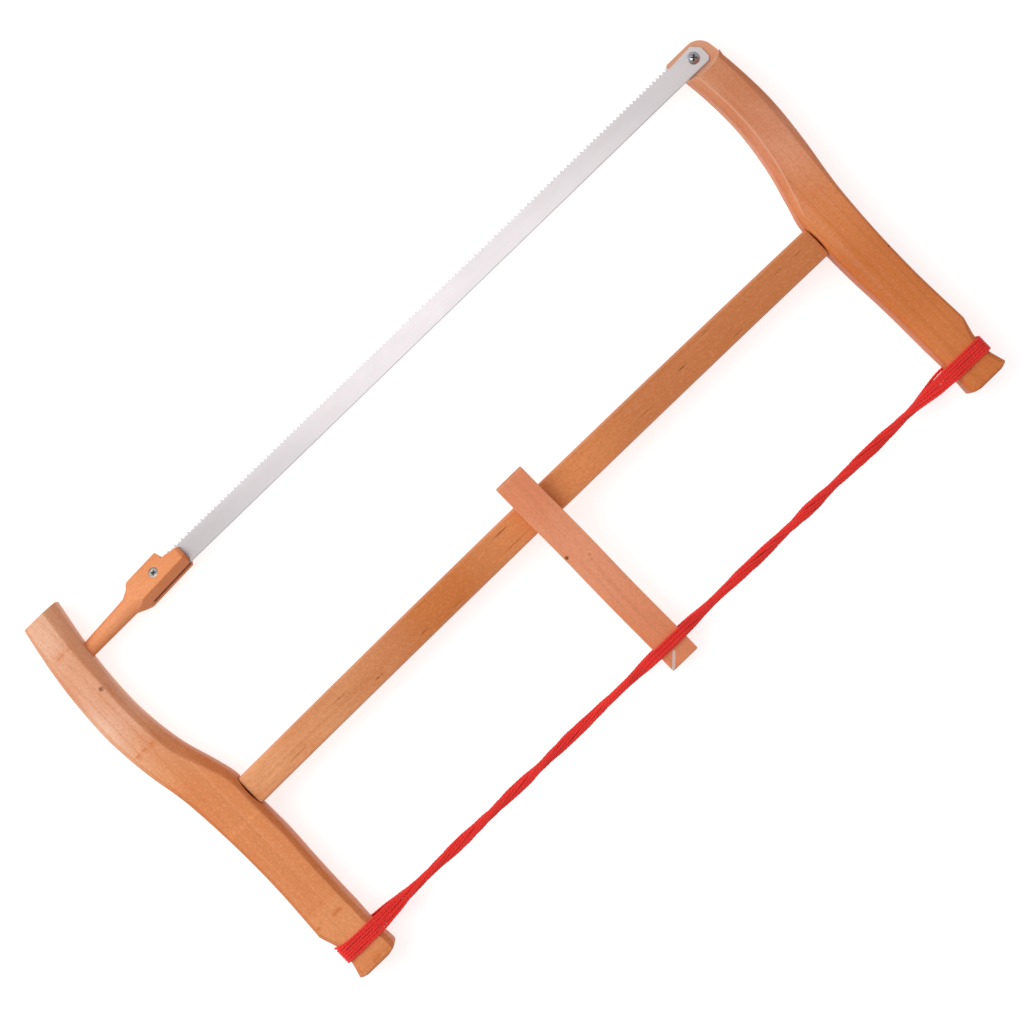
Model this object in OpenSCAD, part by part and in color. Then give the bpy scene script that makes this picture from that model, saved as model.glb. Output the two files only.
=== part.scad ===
// Bow saw (frame saw) lying on its back.
// +X runs along the blade from the holder end to the screwed end, +Y points from the
// tension cord to the blade, +Z points up out of the front face.
// The origin is the bottom centre of the whole saw. All sizes are in millimetres.

/* [Blade] */
// Distance between the two screw holes of the blade
blade_centres = 300; // [220:1:420]
// Width of the blade over the teeth
blade_w = 10; // [8:0.5:14]
// Thickness of the blade
blade_t = 0.6; // [0.4:0.05:0.9]
// Distance from one tooth to the next
tooth_pitch = 1.85; // [1.4:0.05:3]
// Depth of the gullets between the teeth
tooth_depth = 1; // [0.6:0.05:1.6]
// Blade beyond the hole at the screwed end
blade_nose = 5.2; // [4:0.1:8]
// Blade beyond the hole inside the holder
blade_tail = 7; // [5:0.1:9]
// Plain length between the screwed hole and the first tooth
plain_end = 10; // [8:0.5:20]
// Plain length between the hole in the holder and the last tooth
plain_tail = 5; // [4:0.5:12]

/* [Frame] */
// Height of the blade above the stretcher, centre to centre
blade_rise = 87; // [70:1:120]
// Depth of the cord below the stretcher, centre to centre
cord_drop = 74; // [60:1:100]
// Thickness of the two cheeks
cheek_t = 18; // [15:0.5:24]
// Length of the left cheek above the blade
horn_len = 21; // [15:0.5:35]
// Wood of the right cheek above the edge of the blade
crown_margin = 0.6; // [0.4:0.1:3]
// Length of both cheeks below the cord
foot_len = 13; // [11:0.5:20]
// Reach of the outer edge of a cheek at its belly, from the stretcher's shoulder
belly_reach = 26; // [22:0.5:34]
// Hollow of the inner edge of a cheek behind the throat
throat_hollow = 8.7; // [5:0.1:12]
// Width of a cheek at the stretcher
seat_w = 20; // [17:0.5:26]
// Depth of the cord's hollow in the outer edge
neck_depth = 2.1; // [1:0.1:3.5]
// Rest of the back hollow below the cord, so that the saw lies on its cheeks
back_margin = 0.2; // [0.1:0.1:1]
// Distance of the screwed hole outside the stretcher's shoulder
screw_reach = 15.8; // [13:0.1:19]
// Distance of the holder's screw inside the stretcher's shoulder
holder_inset = 33.8; // [28:0.1:60]
// Step from the front of the right cheek down to the shoulder of its half lap
lap_slope = 1.5; // [0.5:0.1:3]

/* [Stretcher] */
// Width of the stretcher, across the saw
stretcher_w = 13.4; // [11:0.1:18]
// Thickness of the stretcher
stretcher_t = 12; // [9:0.1:14]
// Radius of the stretcher's eased arrises
stretcher_ease = 1.5; // [0.5:0.1:3]
// Radius of the stretcher's rounded ends, about the point the cheeks rock on
end_r = 13; // [9:0.5:18]
// Depth that the rounded end is let into the cheek
house_depth = 1.6; // [1:0.1:3]
// Length of the tenon beyond the rounded end
tenon_len = 6; // [4:0.5:9]
// Width of the tenon, across the saw
tenon_w = 8; // [6:0.5:11]
// Thickness of the tenon
tenon_t = 5; // [4:0.5:8]

/* [Blade holder] */
// Side of the holder's square block
block_w = 10.4; // [9:0.1:13]
// Block between the screw and the end that the blade leaves
block_front = 14; // [11:0.5:20]
// Block between the screw and its turned shoulder
block_back = 10.4; // [9:0.2:16]
// Length of the turned shoulder between block and stem
shoulder_len = 6.4; // [4:0.2:10]
// Radius of the stem at the turned shoulder
stem_r = 4.1; // [3.4:0.1:5]
// Radius of the stem where it enters the cheek
stem_end_r = 3.3; // [2.6:0.1:4]
// Depth of the stem in the cheek
stem_depth = 10; // [7:0.5:12]
// Width of the saw kerf that takes the blade
kerf_w = 0.9; // [0.8:0.05:1.6]
// Roll of the holder's flats about its stem
holder_roll = 28; // [0:1:40]
// Lean of the holder away from the line of the blade
holder_lean = 2.6; // [0:0.1:4]

/* [Screws] */
// Radius of the blade screw's shank
screw_r = 1.4; // [1.2:0.05:1.8]
// Radius of the blade screw's domed head
dome_r = 2.6; // [2.2:0.1:3.5]
// Height of the blade screw's domed head
dome_h = 2; // [1.2:0.1:2.6]
// Length of the blade screw below its head
screw_len = 7.5; // [6:0.5:8]
// Radius of the holder screw's shank
holder_screw_r = 1.2; // [1:0.05:1.5]
// Radius of the holder screw's countersunk head
countersunk_r = 2.1; // [1.8:0.1:2.6]
// Length of the holder screw
holder_screw_len = 9; // [7:0.5:9.5]

/* [Toggle] */
// Length of the toggle
toggle_len = 102; // [90:1:140]
// Width of the toggle
toggle_w = 13.2; // [10:0.1:18]
// Thickness of the toggle
toggle_t = 6; // [4:0.1:8]
// Length of the toggle beyond the cord
toggle_foot = 10; // [7:0.5:16]
// Position of the toggle along the stretcher, from its middle
toggle_x = 3.9; // [-30:0.1:30]

/* [Cord] */
// Diameter of the twine that the tension cord is wound from
cord_d = 1.2; // [1:0.1:1.4]
// Width of the band of turns around each neck
band_w = 7; // [5:0.1:8]
// Width of the twisted cord between neck and toggle
bundle_w = 4.2; // [3:0.1:6]
// Length over which the front and back turns draw together
gather_len = 24; // [18:1:60]
// Half length of the opening in the cord that the toggle passes through
eye_half = 24; // [16:0.5:40]

/* [Fits] */
// Clearance beside the stretcher's end, so that the cheek can rock
rock_gap = 0.6; // [0.5:0.05:1]
// Clearance of the rounded end in its hollow seat
seat_gap = 0.3; // [0.2:0.05:0.5]
// Gap between the cord and the wood that it passes
cord_gap = 0.3; // [0.2:0.05:0.5]
// Gap between a screw and the wood, and under its head
screw_gap = 0.05; // [0.02:0.01:0.1]
// Running clearance of the blade's hole on the blade screw
hinge_gap = 0.08; // [0.03:0.01:0.1]
// Clearance of the blade's other hole on the holder's screw
loose_gap = 0.35; // [0.3:0.05:0.6]

/* [Hidden] */

// Places along the saw, from the middle of the stretcher
shoulder_x = (blade_centres + holder_inset - screw_reach) / 2;
blade_screw_x = shoulder_x + screw_reach;
holder_screw_x = -shoulder_x + holder_inset;
pivot_x = shoulder_x + house_depth - end_r;

// Places across the saw: the box is centred between the horn and the feet
horn_top = blade_rise + horn_len;
foot_end = cord_drop + foot_len;
crown_top = blade_rise + blade_w / 2 + crown_margin;
axis_y = (foot_end - horn_top) / 2;
blade_y = axis_y + blade_rise;
cord_y = axis_y - cord_drop;

// Heights: the saw lies on the flat backs of its cheeks
mid_z = cheek_t / 2;
lap_z = mid_z - blade_t / 2 - screw_gap;
cord_front_z = cheek_t + cord_gap;
cord_back_z = back_margin + cord_d;
neck_lift = cord_back_z + cord_gap;

// Outline of a cheek: height above the stretcher's axis, inner edge and outer edge
// measured from the shoulder, rounding of the inner and the outer arrises, then the
// depth of the hollow in the back
seat_half = stretcher_w / 2 + rock_gap;
neck_top = cord_drop - band_w / 2 - 8;
neck_full = seat_w + 0.3;
neck_in = 1.6;
neck_out = neck_full - neck_depth;
neck_ease = 2.4;
OUTLINE = [[horn_top, throat_hollow - 5.2, belly_reach - 6.5, 4.5, 3, 0],
           [blade_rise + 3, throat_hollow - 2.4, belly_reach - 3, 3.6, 3, 0],
           [0.83 * blade_rise, throat_hollow - 0.3, belly_reach - 0.8, 3.2, 3, 0],
           [0.61 * blade_rise, throat_hollow, belly_reach, 3.2, 3.2, 0],
           [0.39 * blade_rise, throat_hollow - 2.5, belly_reach - 1.6, 3.2, 3, 0],
           [0.2 * blade_rise, 2, seat_w + 1.9, 2.8, 2.6, 0],
           [seat_half, 0, seat_w + 0.6, 1.8, 2.2, 0],
           [-seat_half, 0, seat_w - 0.4, 1.6, 2, 0],
           [-0.3 * cord_drop, 0, seat_w - 0.9, 1.8, 1.8, 0],
           [-0.54 * cord_drop, 1, seat_w - 0.8, 1.8, 1.8, 0],
           [-neck_top, 1.5, neck_full, 1.8, 1.8, 0]];
NECK = [[-cord_drop + band_w / 2 + 1, neck_in, neck_out, neck_ease, neck_ease, neck_lift],
        [-cord_drop - band_w / 2 - 1, neck_in, neck_out, neck_ease, neck_ease, neck_lift],
        [-foot_end, neck_in, seat_w - 0.4, 1.6, 1.6, 0]];
foot_crown = 1;
crown_r = 6;
curve_steps = 4;
corner_steps = 3;

// Point at share t between p1 and p2 of a smooth curve through four stations
function catmull(p0, p1, p2, p3, t) =
    0.5 * ((2 * p1) + (p2 - p0) * t + (2 * p0 - 5 * p1 + 4 * p2 - p3) * t * t
           + (3 * p1 - p0 - 3 * p2 + p3) * t * t * t);

// Smooth run of stations through every station of a list
function smooth_run(s) = [
    for (i = [0 : len(s) - 2], k = [0 : curve_steps - 1])
        catmull(s[max(i - 1, 0)], s[i], s[i + 1], s[min(i + 2, len(s) - 1)], k / curve_steps),
    s[len(s) - 1]
];

// Station at a given height, by straight interpolation in a run that falls in height
function at_height(run, v, i = 0) =
    i >= len(run) - 2 || run[i + 1][0] <= v
    ? run[i] + (run[i + 1] - run[i]) * (v - run[i][0]) / (run[i + 1][0] - run[i][0])
    : at_height(run, v, i + 1);

TEMPLATE = concat(smooth_run(OUTLINE), NECK);

// Stations of the right cheek: cut off at its crown, whose outer corner is rounded
crown_base = crown_top - crown_r;
RIGHT_RUN = concat(
    [for (a = [90 : -18 : 0])
        let (s = at_height(TEMPLATE, crown_base + crown_r * sin(a)))
        [crown_base + crown_r * sin(a), s[1], s[2] - crown_r * (1 - cos(a)), s[3],
         min(s[4], 1.5 + 1.5 * cos(a)), 0]],
    [for (s = TEMPLATE) if (s[0] < crown_base - 1) s]
);

// Quarter-round corner of a section, centred at [u, z], from angle a0
function corner(u, z, r, a0) =
    [for (k = [0 : corner_steps]) [u + r * cos(a0 + 90 * k / corner_steps),
                                   z + r * sin(a0 + 90 * k / corner_steps)]];

// Section of a cheek at one station, as points in the saw's own frame
function section(s) =
    let (zl = s[5], zh = cheek_t, mid = (s[1] + s[2]) / 2, half = (s[2] - s[1]) / 2,
         crowned = s[0] < -foot_end + 0.1 ? foot_crown : 0,
         ring = concat(corner(s[2] - s[4], zl + s[4], s[4], -90),
                       corner(s[2] - s[4], zh - s[4], s[4], 0),
                       corner(s[1] + s[3], zh - s[3], s[3], 90),
                       corner(s[1] + s[3], zl + s[3], s[3], 180)))
    [for (p = ring) [shoulder_x + p[0],
                     axis_y + s[0] + crowned * pow((p[0] - mid) / half, 2), p[1]]];

// Solid skinned over a list of rings with the same number of points, closed by fans
// at both ends, the last one lifted outwards by a crown
module skin(rings, crown = [0, 0, 0]) {
    m = len(rings[0]);
    n = len(rings);
    ends = [sum_of(rings[0]) / m, sum_of(rings[n - 1]) / m + crown];
    pts = concat([for (r = rings, p = r) p], ends);
    sides = [for (i = [0 : n - 2], k = [0 : m - 1])
        let (a = i * m + k, b = i * m + (k + 1) % m)
        each [[a, b, b + m], [a, b + m, a + m]]];
    first = [for (k = [0 : m - 1]) [n * m, (k + 1) % m, k]];
    last = [for (k = [0 : m - 1]) [n * m + 1, (n - 1) * m + k, (n - 1) * m + (k + 1) % m]];
    polyhedron(points = pts, faces = concat(sides, first, last), convexity = 6);
}

function sum_of(v, i = 0) = i == len(v) - 1 ? v[i] : v[i] + sum_of(v, i + 1);

// Rounded bar along X, centred on the axis, with true round arrises
module eased_bar(length, w, t, r) {
    rotate([90, 0, 90])
        linear_extrude(length, center = true) {
            square([w - 2 * r, t], center = true);
            square([w, t - 2 * r], center = true);
            for (sx = [-1, 1], sy = [-1, 1])
                translate([sx * (w / 2 - r), sy * (t / 2 - r)])
                    circle(r, $fn = 32);
        }
}

// Right cheek before its cuts, over a run of stations; its foot is slightly crowned
module cheek_blank(run) {
    foot = section(run[len(run) - 1]);
    low = axis_y - foot_end - sum_of(foot)[1] / len(foot);
    skin([for (s = run) section(s)], [0, low, 0]);
}

// Hollow across the edge of the right cheek that seats the rounded end of the
// stretcher, with the mortise for its tenon
module housing() {
    translate([pivot_x, axis_y, mid_z]) {
        intersection() {
            translate([0, -stretcher_w / 2 - rock_gap, -cheek_t])
                cube([end_r + 2, stretcher_w + 2 * rock_gap, 2 * cheek_t]);
            cylinder(r = end_r + seat_gap, h = 2 * cheek_t, center = true, $fn = 96);
        }
        translate([end_r - 3, -tenon_w / 2 - rock_gap - 0.2, -tenon_t / 2 - seat_gap])
            cube([3 + tenon_len + 2 * seat_gap, tenon_w + 2 * rock_gap + 0.4,
                  tenon_t + 2 * seat_gap]);
    }
}

// Frame of the holder: its screw at the origin, its stem along -X, its flats square
module in_holder() {
    translate([holder_screw_x, blade_y, mid_z])
        rotate([0, 0, holder_lean])
            rotate([-holder_roll, 0, 0])
                children();
}

// Length of the stem from the screw to the inner face of the left cheek
stem_reach = holder_inset + at_height(TEMPLATE, blade_rise - 2)[1];

module left_cheek() {
    color("#d79a6b")
        difference() {
            mirror([1, 0, 0])
                cheek_blank(TEMPLATE);
            mirror([1, 0, 0])
                housing();
            in_holder()
                translate([-stem_reach - stem_depth - 0.5, 0, 0])
                    rotate([0, 90, 0])
                        cylinder(r = stem_end_r + screw_gap, h = 2 * stem_depth, $fn = 48);
        }
}

module right_cheek() {
    lap_foot = blade_y - blade_w / 2 - 0.3;
    color("#cf8656")
        difference() {
            cheek_blank(RIGHT_RUN);
            housing();
            translate([shoulder_x - 5, 0, 0])
                rotate([90, 0, 90])
                    linear_extrude(belly_reach + 10)
                        polygon([[lap_foot, lap_z], [crown_top + axis_y + 5, lap_z],
                                 [crown_top + axis_y + 5, cheek_t + 5],
                                 [lap_foot - lap_slope, cheek_t + 5],
                                 [lap_foot - lap_slope, cheek_t]]);
            translate([blade_screw_x, blade_y, lap_z - screw_len - 0.5])
                cylinder(r = screw_r + screw_gap, h = screw_len + 2, $fn = 32);
        }
}

module stretcher() {
    color("#c98552")
        translate([0, axis_y, mid_z]) {
            intersection() {
                eased_bar(2 * (pivot_x + end_r) + 2, stretcher_w, stretcher_t, stretcher_ease);
                union() {
                    cube([2 * pivot_x, stretcher_w + 2, stretcher_t + 2], center = true);
                    for (side = [-1, 1])
                        translate([side * pivot_x, 0, 0])
                            cylinder(r = end_r, h = stretcher_t + 2, center = true, $fn = 96);
                }
            }
            for (side = [-1, 1])
                translate([side * (pivot_x + end_r - 2 + (tenon_len + 2) / 2), 0, 0])
                    cube([tenon_len + 2, tenon_w, tenon_t], center = true);
        }
}

// Outline of the blade about its holder hole, teeth along the upper edge
tooth_run = blade_centres - plain_end - plain_tail;
tooth_count = floor(tooth_run / tooth_pitch);
module blade() {
    gullet_y = blade_w / 2 - tooth_depth;
    first_x = blade_centres - plain_end - tooth_count * tooth_pitch;
    teeth = [for (i = [0 : tooth_count - 1])
        each [[first_x + i * tooth_pitch, gullet_y],
              [first_x + (i + 0.35) * tooth_pitch, blade_w / 2]]];
    nose = blade_centres + blade_nose;
    color("#c9c3c6")
        translate([holder_screw_x, blade_y, mid_z - blade_t / 2])
            difference() {
                linear_extrude(blade_t)
                    polygon(concat([[-blade_tail, -blade_w / 2], [-blade_tail, gullet_y]], teeth,
                                   [[blade_centres - plain_end, gullet_y],
                                    [nose - 3, gullet_y + 0.6], [nose, 1], [nose, 1.5 - blade_w / 2],
                                    [nose - 1.4, -blade_w / 2]]));
                translate([0, 0, -1])
                    cylinder(r = blade_hole_r, h = blade_t + 2, $fn = 48);
                translate([blade_centres, 0, -1])
                    cylinder(r = screw_r + hinge_gap, h = blade_t + 2, $fn = 48);
            }
}

// The holder's screw crosses the blade at the roll of the holder
blade_hole_r = holder_screw_r / cos(holder_roll) + blade_t / 2 * tan(holder_roll) + loose_gap;

module blade_holder() {
    block_end = 1.4;
    notch_from = 4.6;
    notch_y = 4.2;
    color("#dd9561")
        difference() {
            in_holder() {
                difference() {
                    intersection() {
                        translate([-block_back - shoulder_len, -block_w / 2, -block_w / 2])
                            cube([block_front + block_back + shoulder_len, block_w, block_w]);
                        rotate([0, 90, 0])
                            rotate_extrude($fn = 96)
                                polygon([[0, -block_back - shoulder_len],
                                         [stem_r, -block_back - shoulder_len],
                                         [block_w * 0.69, -block_back],
                                         [block_w * 0.69, block_front - block_end],
                                         [block_w * 0.69 - block_end, block_front],
                                         [0, block_front]]);
                    }
                    for (q = [0 : 90 : 270])
                        rotate([q, 0, 0])
                            translate([block_front, 0, block_w / 2 - block_end])
                                rotate([0, 45, 0])
                                    translate([-4, -block_w, 0])
                                        cube([8, 2 * block_w, 4]);
                    holder_screw_solid(screw_gap, 1);
                }
                rotate([0, -90, 0])
                    translate([0, 0, block_back + shoulder_len - 0.5])
                        cylinder(r1 = stem_r, r2 = stem_end_r,
                                 h = stem_reach - block_back - shoulder_len + 0.5, $fn = 64);
                rotate([0, -90, 0])
                    translate([0, 0, stem_reach - 0.01])
                        cylinder(r = stem_end_r, h = stem_depth, $fn = 64);
            }
            // Kerf for the blade, in the plane of the blade
            translate([holder_screw_x - block_back + 0.6, blade_y - block_w, mid_z - kerf_w / 2])
                cube([block_back + block_front + 5, 2 * block_w, kerf_w]);
            // Relief above the blade, so that the teeth come out free
            translate([holder_screw_x, blade_y, 0])
                linear_extrude(mid_z + block_w)
                    polygon([[notch_from, block_w], [notch_from + 1.4, notch_y + 0.4],
                             [block_front - 1.4, notch_y - 0.8], [block_front + 4, notch_y - 2.8],
                             [block_front + 4, block_w]]);
        }
}

// Screw of the holder about its own axis, its head flush with the front flat
module holder_screw_solid(grow, over) {
    head_h = 1.3;
    face_z = block_w / 2 - 0.1;
    translate([0, 0, face_z - head_h])
        cylinder(r1 = holder_screw_r + grow, r2 = countersunk_r + grow, h = head_h, $fn = 48);
    translate([0, 0, face_z - 0.01])
        cylinder(r = countersunk_r + grow, h = 0.01 + over * 2, $fn = 48);
    translate([0, 0, face_z - holder_screw_len - over * 0.3])
        cylinder(r = holder_screw_r + grow, h = holder_screw_len + over * 0.3 - head_h / 2, $fn = 48);
}

// Cross recess that tapers to its middle, centred on a head at height z
module cross_recess(z, span, depth) {
    for (a = [45, 135])
        rotate([0, 0, a])
            translate([-span / 2, -0.3, z - depth])
                cube([span, 0.6, depth + 2]);
}

module holder_screw() {
    color("#b9b8b4")
        in_holder()
            difference() {
                holder_screw_solid(0, 0);
                cross_recess(block_w / 2 - 0.1, 2.2, 0.8);
            }
}

module blade_screw() {
    head_z = mid_z + blade_t / 2 + screw_gap;
    ball_r = (dome_r * dome_r + dome_h * dome_h) / (2 * dome_h);
    color("#8e8d8f")
        translate([blade_screw_x, blade_y, 0])
            difference() {
                union() {
                    intersection() {
                        translate([0, 0, head_z + dome_h - ball_r])
                            sphere(ball_r, $fn = 64);
                        translate([0, 0, head_z])
                            cylinder(r = dome_r, h = dome_h + 1, $fn = 64);
                    }
                    translate([0, 0, lap_z - screw_len])
                        cylinder(r = screw_r, h = head_z - lap_z + screw_len + 0.1, $fn = 32);
                }
                cross_recess(head_z + dome_h, 2.8, 1.2);
            }
}

// The toggle rests on the front arris of the stretcher and passes through the cord
arris_y = cord_drop - stretcher_w / 2 + stretcher_ease;
arris_z = stretcher_t / 2 - stretcher_ease;
toggle_tilt = atan2(arris_z, arris_y)
    + asin((toggle_t / 2 + stretcher_ease + cord_gap) / norm([arris_y, arris_z]));

// Frame of the toggle: the cord's axis along X, the toggle's length along Y
module in_toggle() {
    translate([toggle_x, cord_y, mid_z])
        rotate([toggle_tilt, 0, 0])
            children();
}

module toggle() {
    ease = 0.6;
    color("#d88a68")
        in_toggle()
            translate([0, -toggle_foot, -toggle_t / 2])
                linear_extrude(toggle_t)
                    polygon([[-toggle_w / 2, ease + 0.8], [-toggle_w / 2 + 0.8, 0],
                             [toggle_w / 2 - ease, 0], [toggle_w / 2, ease],
                             [toggle_w / 2, toggle_len - ease], [toggle_w / 2 - ease, toggle_len],
                             [-toggle_w / 2 + ease, toggle_len], [-toggle_w / 2, toggle_len - ease]]);
}

// Band of cord turns around the outer side of the right neck, open towards the stretcher
module wrap() {
    in_u = shoulder_x + neck_in;
    out_u = shoulder_x + neck_out;
    translate([0, cord_y + band_w / 2, 0])
        rotate([90, 0, 0])
            linear_extrude(band_w)
                difference() {
                    rounded_slab(in_u, out_u + cord_gap + cord_d, back_margin,
                                 cord_front_z + cord_d, neck_ease + cord_gap + cord_d);
                    rounded_slab(in_u - 1, out_u + cord_gap, cord_back_z,
                                 cord_front_z, neck_ease + cord_gap);
                }
}

// Rectangle from u0 to u1 and z0 to z1, rounded at its outer corners only
module rounded_slab(u0, u1, z0, z1, r) {
    translate([u0, z0])
        square([u1 - u0 - r, z1 - z0]);
    translate([u1 - 2 * r, z0 + r])
        square([2 * r, z1 - z0 - 2 * r]);
    for (z = [z0 + r, z1 - r])
        translate([u1 - r, z])
            circle(r, $fn = 48);
}

module cord_wrap_left() {
    color("#d8231f")
        mirror([1, 0, 0])
            wrap();
}

module cord_wrap_right() {
    color("#d8231f")
        wrap();
}

// One half of the cord, swept along X as an eight-sided oval: every entry is
// [x, height off the cord's axis, width, thickness]
module cord_half(stations) {
    skin([for (s = stations)
        [for (a = [22.5 : 45 : 337.5]) [s[0], s[2] / 2 * cos(a), s[1] + s[3] / 2 * sin(a)]]]);
}

// Front and back half of the cord from a neck to the eye, drawn together on the way
module span_to(eye_x) {
    near_t = bundle_w / 2 + 0.2;
    start_x = shoulder_x + neck_in - 0.2;
    for (end = [[cord_front_z + cord_d / 2, bundle_w / 4], [cord_back_z - cord_d / 2, -bundle_w / 4]])
        translate([0, cord_y, 0])
            cord_half(concat(
                [[eye_x, mid_z + end[1], bundle_w, near_t]],
                [for (k = [4 : -1 : 0])
                    let (t = k / 4, e = t * t * (3 - 2 * t))
                    [start_x - gather_len * t, end[0] + (mid_z + end[1] - end[0]) * e,
                     band_w + (bundle_w - band_w) * e, cord_d + (near_t - cord_d) * e]]));
}

module cord_span_right() {
    color("#d8231f")
        span_to(toggle_x + eye_half + cord_gap / 2);
}

module cord_span_left() {
    color("#d8231f")
        mirror([1, 0, 0])
            span_to(-toggle_x + eye_half + cord_gap / 2);
}

// The cord parts around the toggle: half of its turns in front and half behind
module cord_eye() {
    over_z = toggle_t / 2 + cord_gap + 0.8;
    near_z = bundle_w / 4;
    flat_x = toggle_w / 2 + 1;
    color("#d8231f")
        in_toggle()
            for (side = [-1, 1])
                cord_half([for (k = [-5 : 5])
                    let (far = abs(k) / 5, x = sign(k) * (far < 0.3 ? flat_x * far / 0.2
                             : flat_x + (eye_half - flat_x) * (far - 0.2) / 0.8),
                         t = far <= 0.2 ? 0 : (far - 0.2) / 0.8, e = t * t * (3 - 2 * t))
                    [x, side * (over_z + (near_z - over_z) * e), bundle_w + 0.6 * (1 - e),
                     1.6 + (bundle_w / 2 + 0.2 - 1.6) * e]]);
}

// Knot that ties the two ends of the twine, between its front and back turns beside
// the left neck
module cord_knot() {
    knot_r = 1.5;
    color("#c41c1a")
        translate([-shoulder_x - neck_in + 5, cord_y, cord_back_z + 0.6 + knot_r])
            sphere(knot_r, $fn = 32);
}

left_cheek();
right_cheek();
stretcher();
blade();
blade_holder();
holder_screw();
blade_screw();
toggle();
cord_wrap_left();
cord_wrap_right();
cord_span_left();
cord_span_right();
cord_eye();
cord_knot();
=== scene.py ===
"""Builds the looks of a beech bow saw around its packed frame: two cheeks, a stretcher,
a toothed blade in a turned holder, a toggle and a twisted red cord."""

import math

import bmesh
import bpy
import numpy as np
from mathutils import Matrix, Vector


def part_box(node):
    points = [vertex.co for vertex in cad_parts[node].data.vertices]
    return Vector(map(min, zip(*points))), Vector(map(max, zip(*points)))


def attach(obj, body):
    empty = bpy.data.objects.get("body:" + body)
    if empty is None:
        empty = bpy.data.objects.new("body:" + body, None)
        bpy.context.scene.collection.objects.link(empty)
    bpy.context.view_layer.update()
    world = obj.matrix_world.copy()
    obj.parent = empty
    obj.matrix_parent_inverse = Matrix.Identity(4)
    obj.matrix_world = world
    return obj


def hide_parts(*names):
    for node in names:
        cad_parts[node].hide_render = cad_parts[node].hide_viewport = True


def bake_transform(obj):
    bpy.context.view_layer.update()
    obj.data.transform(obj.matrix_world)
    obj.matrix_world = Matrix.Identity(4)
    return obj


bl_info = {
    "name": "Bow Saw",
    "version": (1, 0, 0),
    "blender": (4, 5, 0),
    "location": "3D View > Sidebar > Bow Saw",
    "description": "Builds a beech bow saw with its blade, toggle and tension cord",
    "category": "Add Mesh",
}

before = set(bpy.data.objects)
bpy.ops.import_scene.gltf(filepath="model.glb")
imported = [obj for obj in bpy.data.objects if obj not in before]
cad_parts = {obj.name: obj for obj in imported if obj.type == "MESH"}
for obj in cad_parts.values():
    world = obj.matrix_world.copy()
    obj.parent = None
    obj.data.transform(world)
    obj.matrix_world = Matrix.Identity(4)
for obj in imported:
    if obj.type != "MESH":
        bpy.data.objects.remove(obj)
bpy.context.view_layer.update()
MM = 0.001


# ---------------------------------------------------------------- places in the frame
def node_box(node):
    """Lowest and highest corner of a frame node in millimetres."""
    return tuple(np.array(corner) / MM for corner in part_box(node))


def node_middle(node):
    low, high = node_box(node)
    return (low + high) / 2


# Radius of the stretcher's ends, how deep they are housed, and the length of the tenons
END_R = 13.0
HOUSE_DEPTH = 1.6
TENON_LEN = 6.0
AXIS_Y = node_middle("stretcher")[1]
MID_Z = node_middle("stretcher")[2]
SHOULDER = node_box("stretcher")[1][0] - TENON_LEN - HOUSE_DEPTH
PIVOT = SHOULDER + HOUSE_DEPTH - END_R
BLADE_Y = node_middle("blade_screw")[1]
SCREW_X = node_middle("blade_screw")[0]
HOLDER_SCREW_X = SCREW_X - 300.0
CORD_Y = node_middle("cord_wrap_right")[1]
TOGGLE_X = node_middle("toggle")[0]
CHEEK_T = node_box("left_cheek")[1][2]
EYE_HALF = 24.0
TOGGLE_TILT = math.radians(7.734)
HOLDER_LEAN = math.radians(2.6)
HOLDER_ROLL = math.radians(28.0)


# ---------------------------------------------------------------- sizes and colours
def length_prop(name, about, value):
    """A length given in millimetres and kept in metres."""
    return bpy.props.FloatProperty(
        name=name, description=about, default=value * MM, min=0.0, precision=5,
        subtype="DISTANCE", unit="LENGTH",
    )


def share_prop(name, about, value):
    return bpy.props.FloatProperty(
        name=name, description=about, default=value, min=0.0, max=1.0, subtype="FACTOR"
    )


def colour_prop(name, about, value):
    """A colour given as display values from 0 to 255."""
    return bpy.props.FloatVectorProperty(
        name=name, description=about, subtype="COLOR", size=3, min=0.0, max=1.0,
        default=tuple(display_to_light(v / 255) for v in value),
    )


def display_to_light(v):
    return v / 12.92 if v <= 0.04045 else ((v + 0.055) / 1.055) ** 2.4


class BowSawWood(bpy.types.PropertyGroup):
    """Colours and finish of the beech parts."""

    left_colour: colour_prop("Left cheek", "Beech of the left cheek", (232, 145, 90))
    left_pale: colour_prop("Left cheek, pale", "Beech at the horn of the left cheek", (248, 198, 168))
    right_colour: colour_prop("Right cheek", "Beech of the right cheek", (222, 127, 68))
    right_pale: colour_prop("Right cheek, pale", "Beech at the top of the right cheek", (228, 164, 130))
    stretcher_colour: colour_prop("Stretcher", "Beech of the stretcher", (212, 129, 78))
    stretcher_pale: colour_prop("Stretcher, pale", "Beech at its left end", (242, 176, 128))
    holder_colour: colour_prop("Holder", "Beech of the blade holder", (238, 150, 98))
    holder_pale: colour_prop("Holder, pale", "Light streaks of the blade holder", (246, 168, 120))
    toggle_colour: colour_prop("Toggle", "Beech of the toggle", (239, 147, 105))
    toggle_pale: colour_prop("Toggle, pale", "Light streaks of the toggle", (247, 166, 128))
    fleck_colour: colour_prop("Flecks", "Short dark flecks of the beech", (148, 84, 50))
    roughness: share_prop("Roughness", "Roughness of the oiled wood", 0.46)
    coat: share_prop("Oil film", "Strength of the thin film of oil", 0.03)


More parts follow.
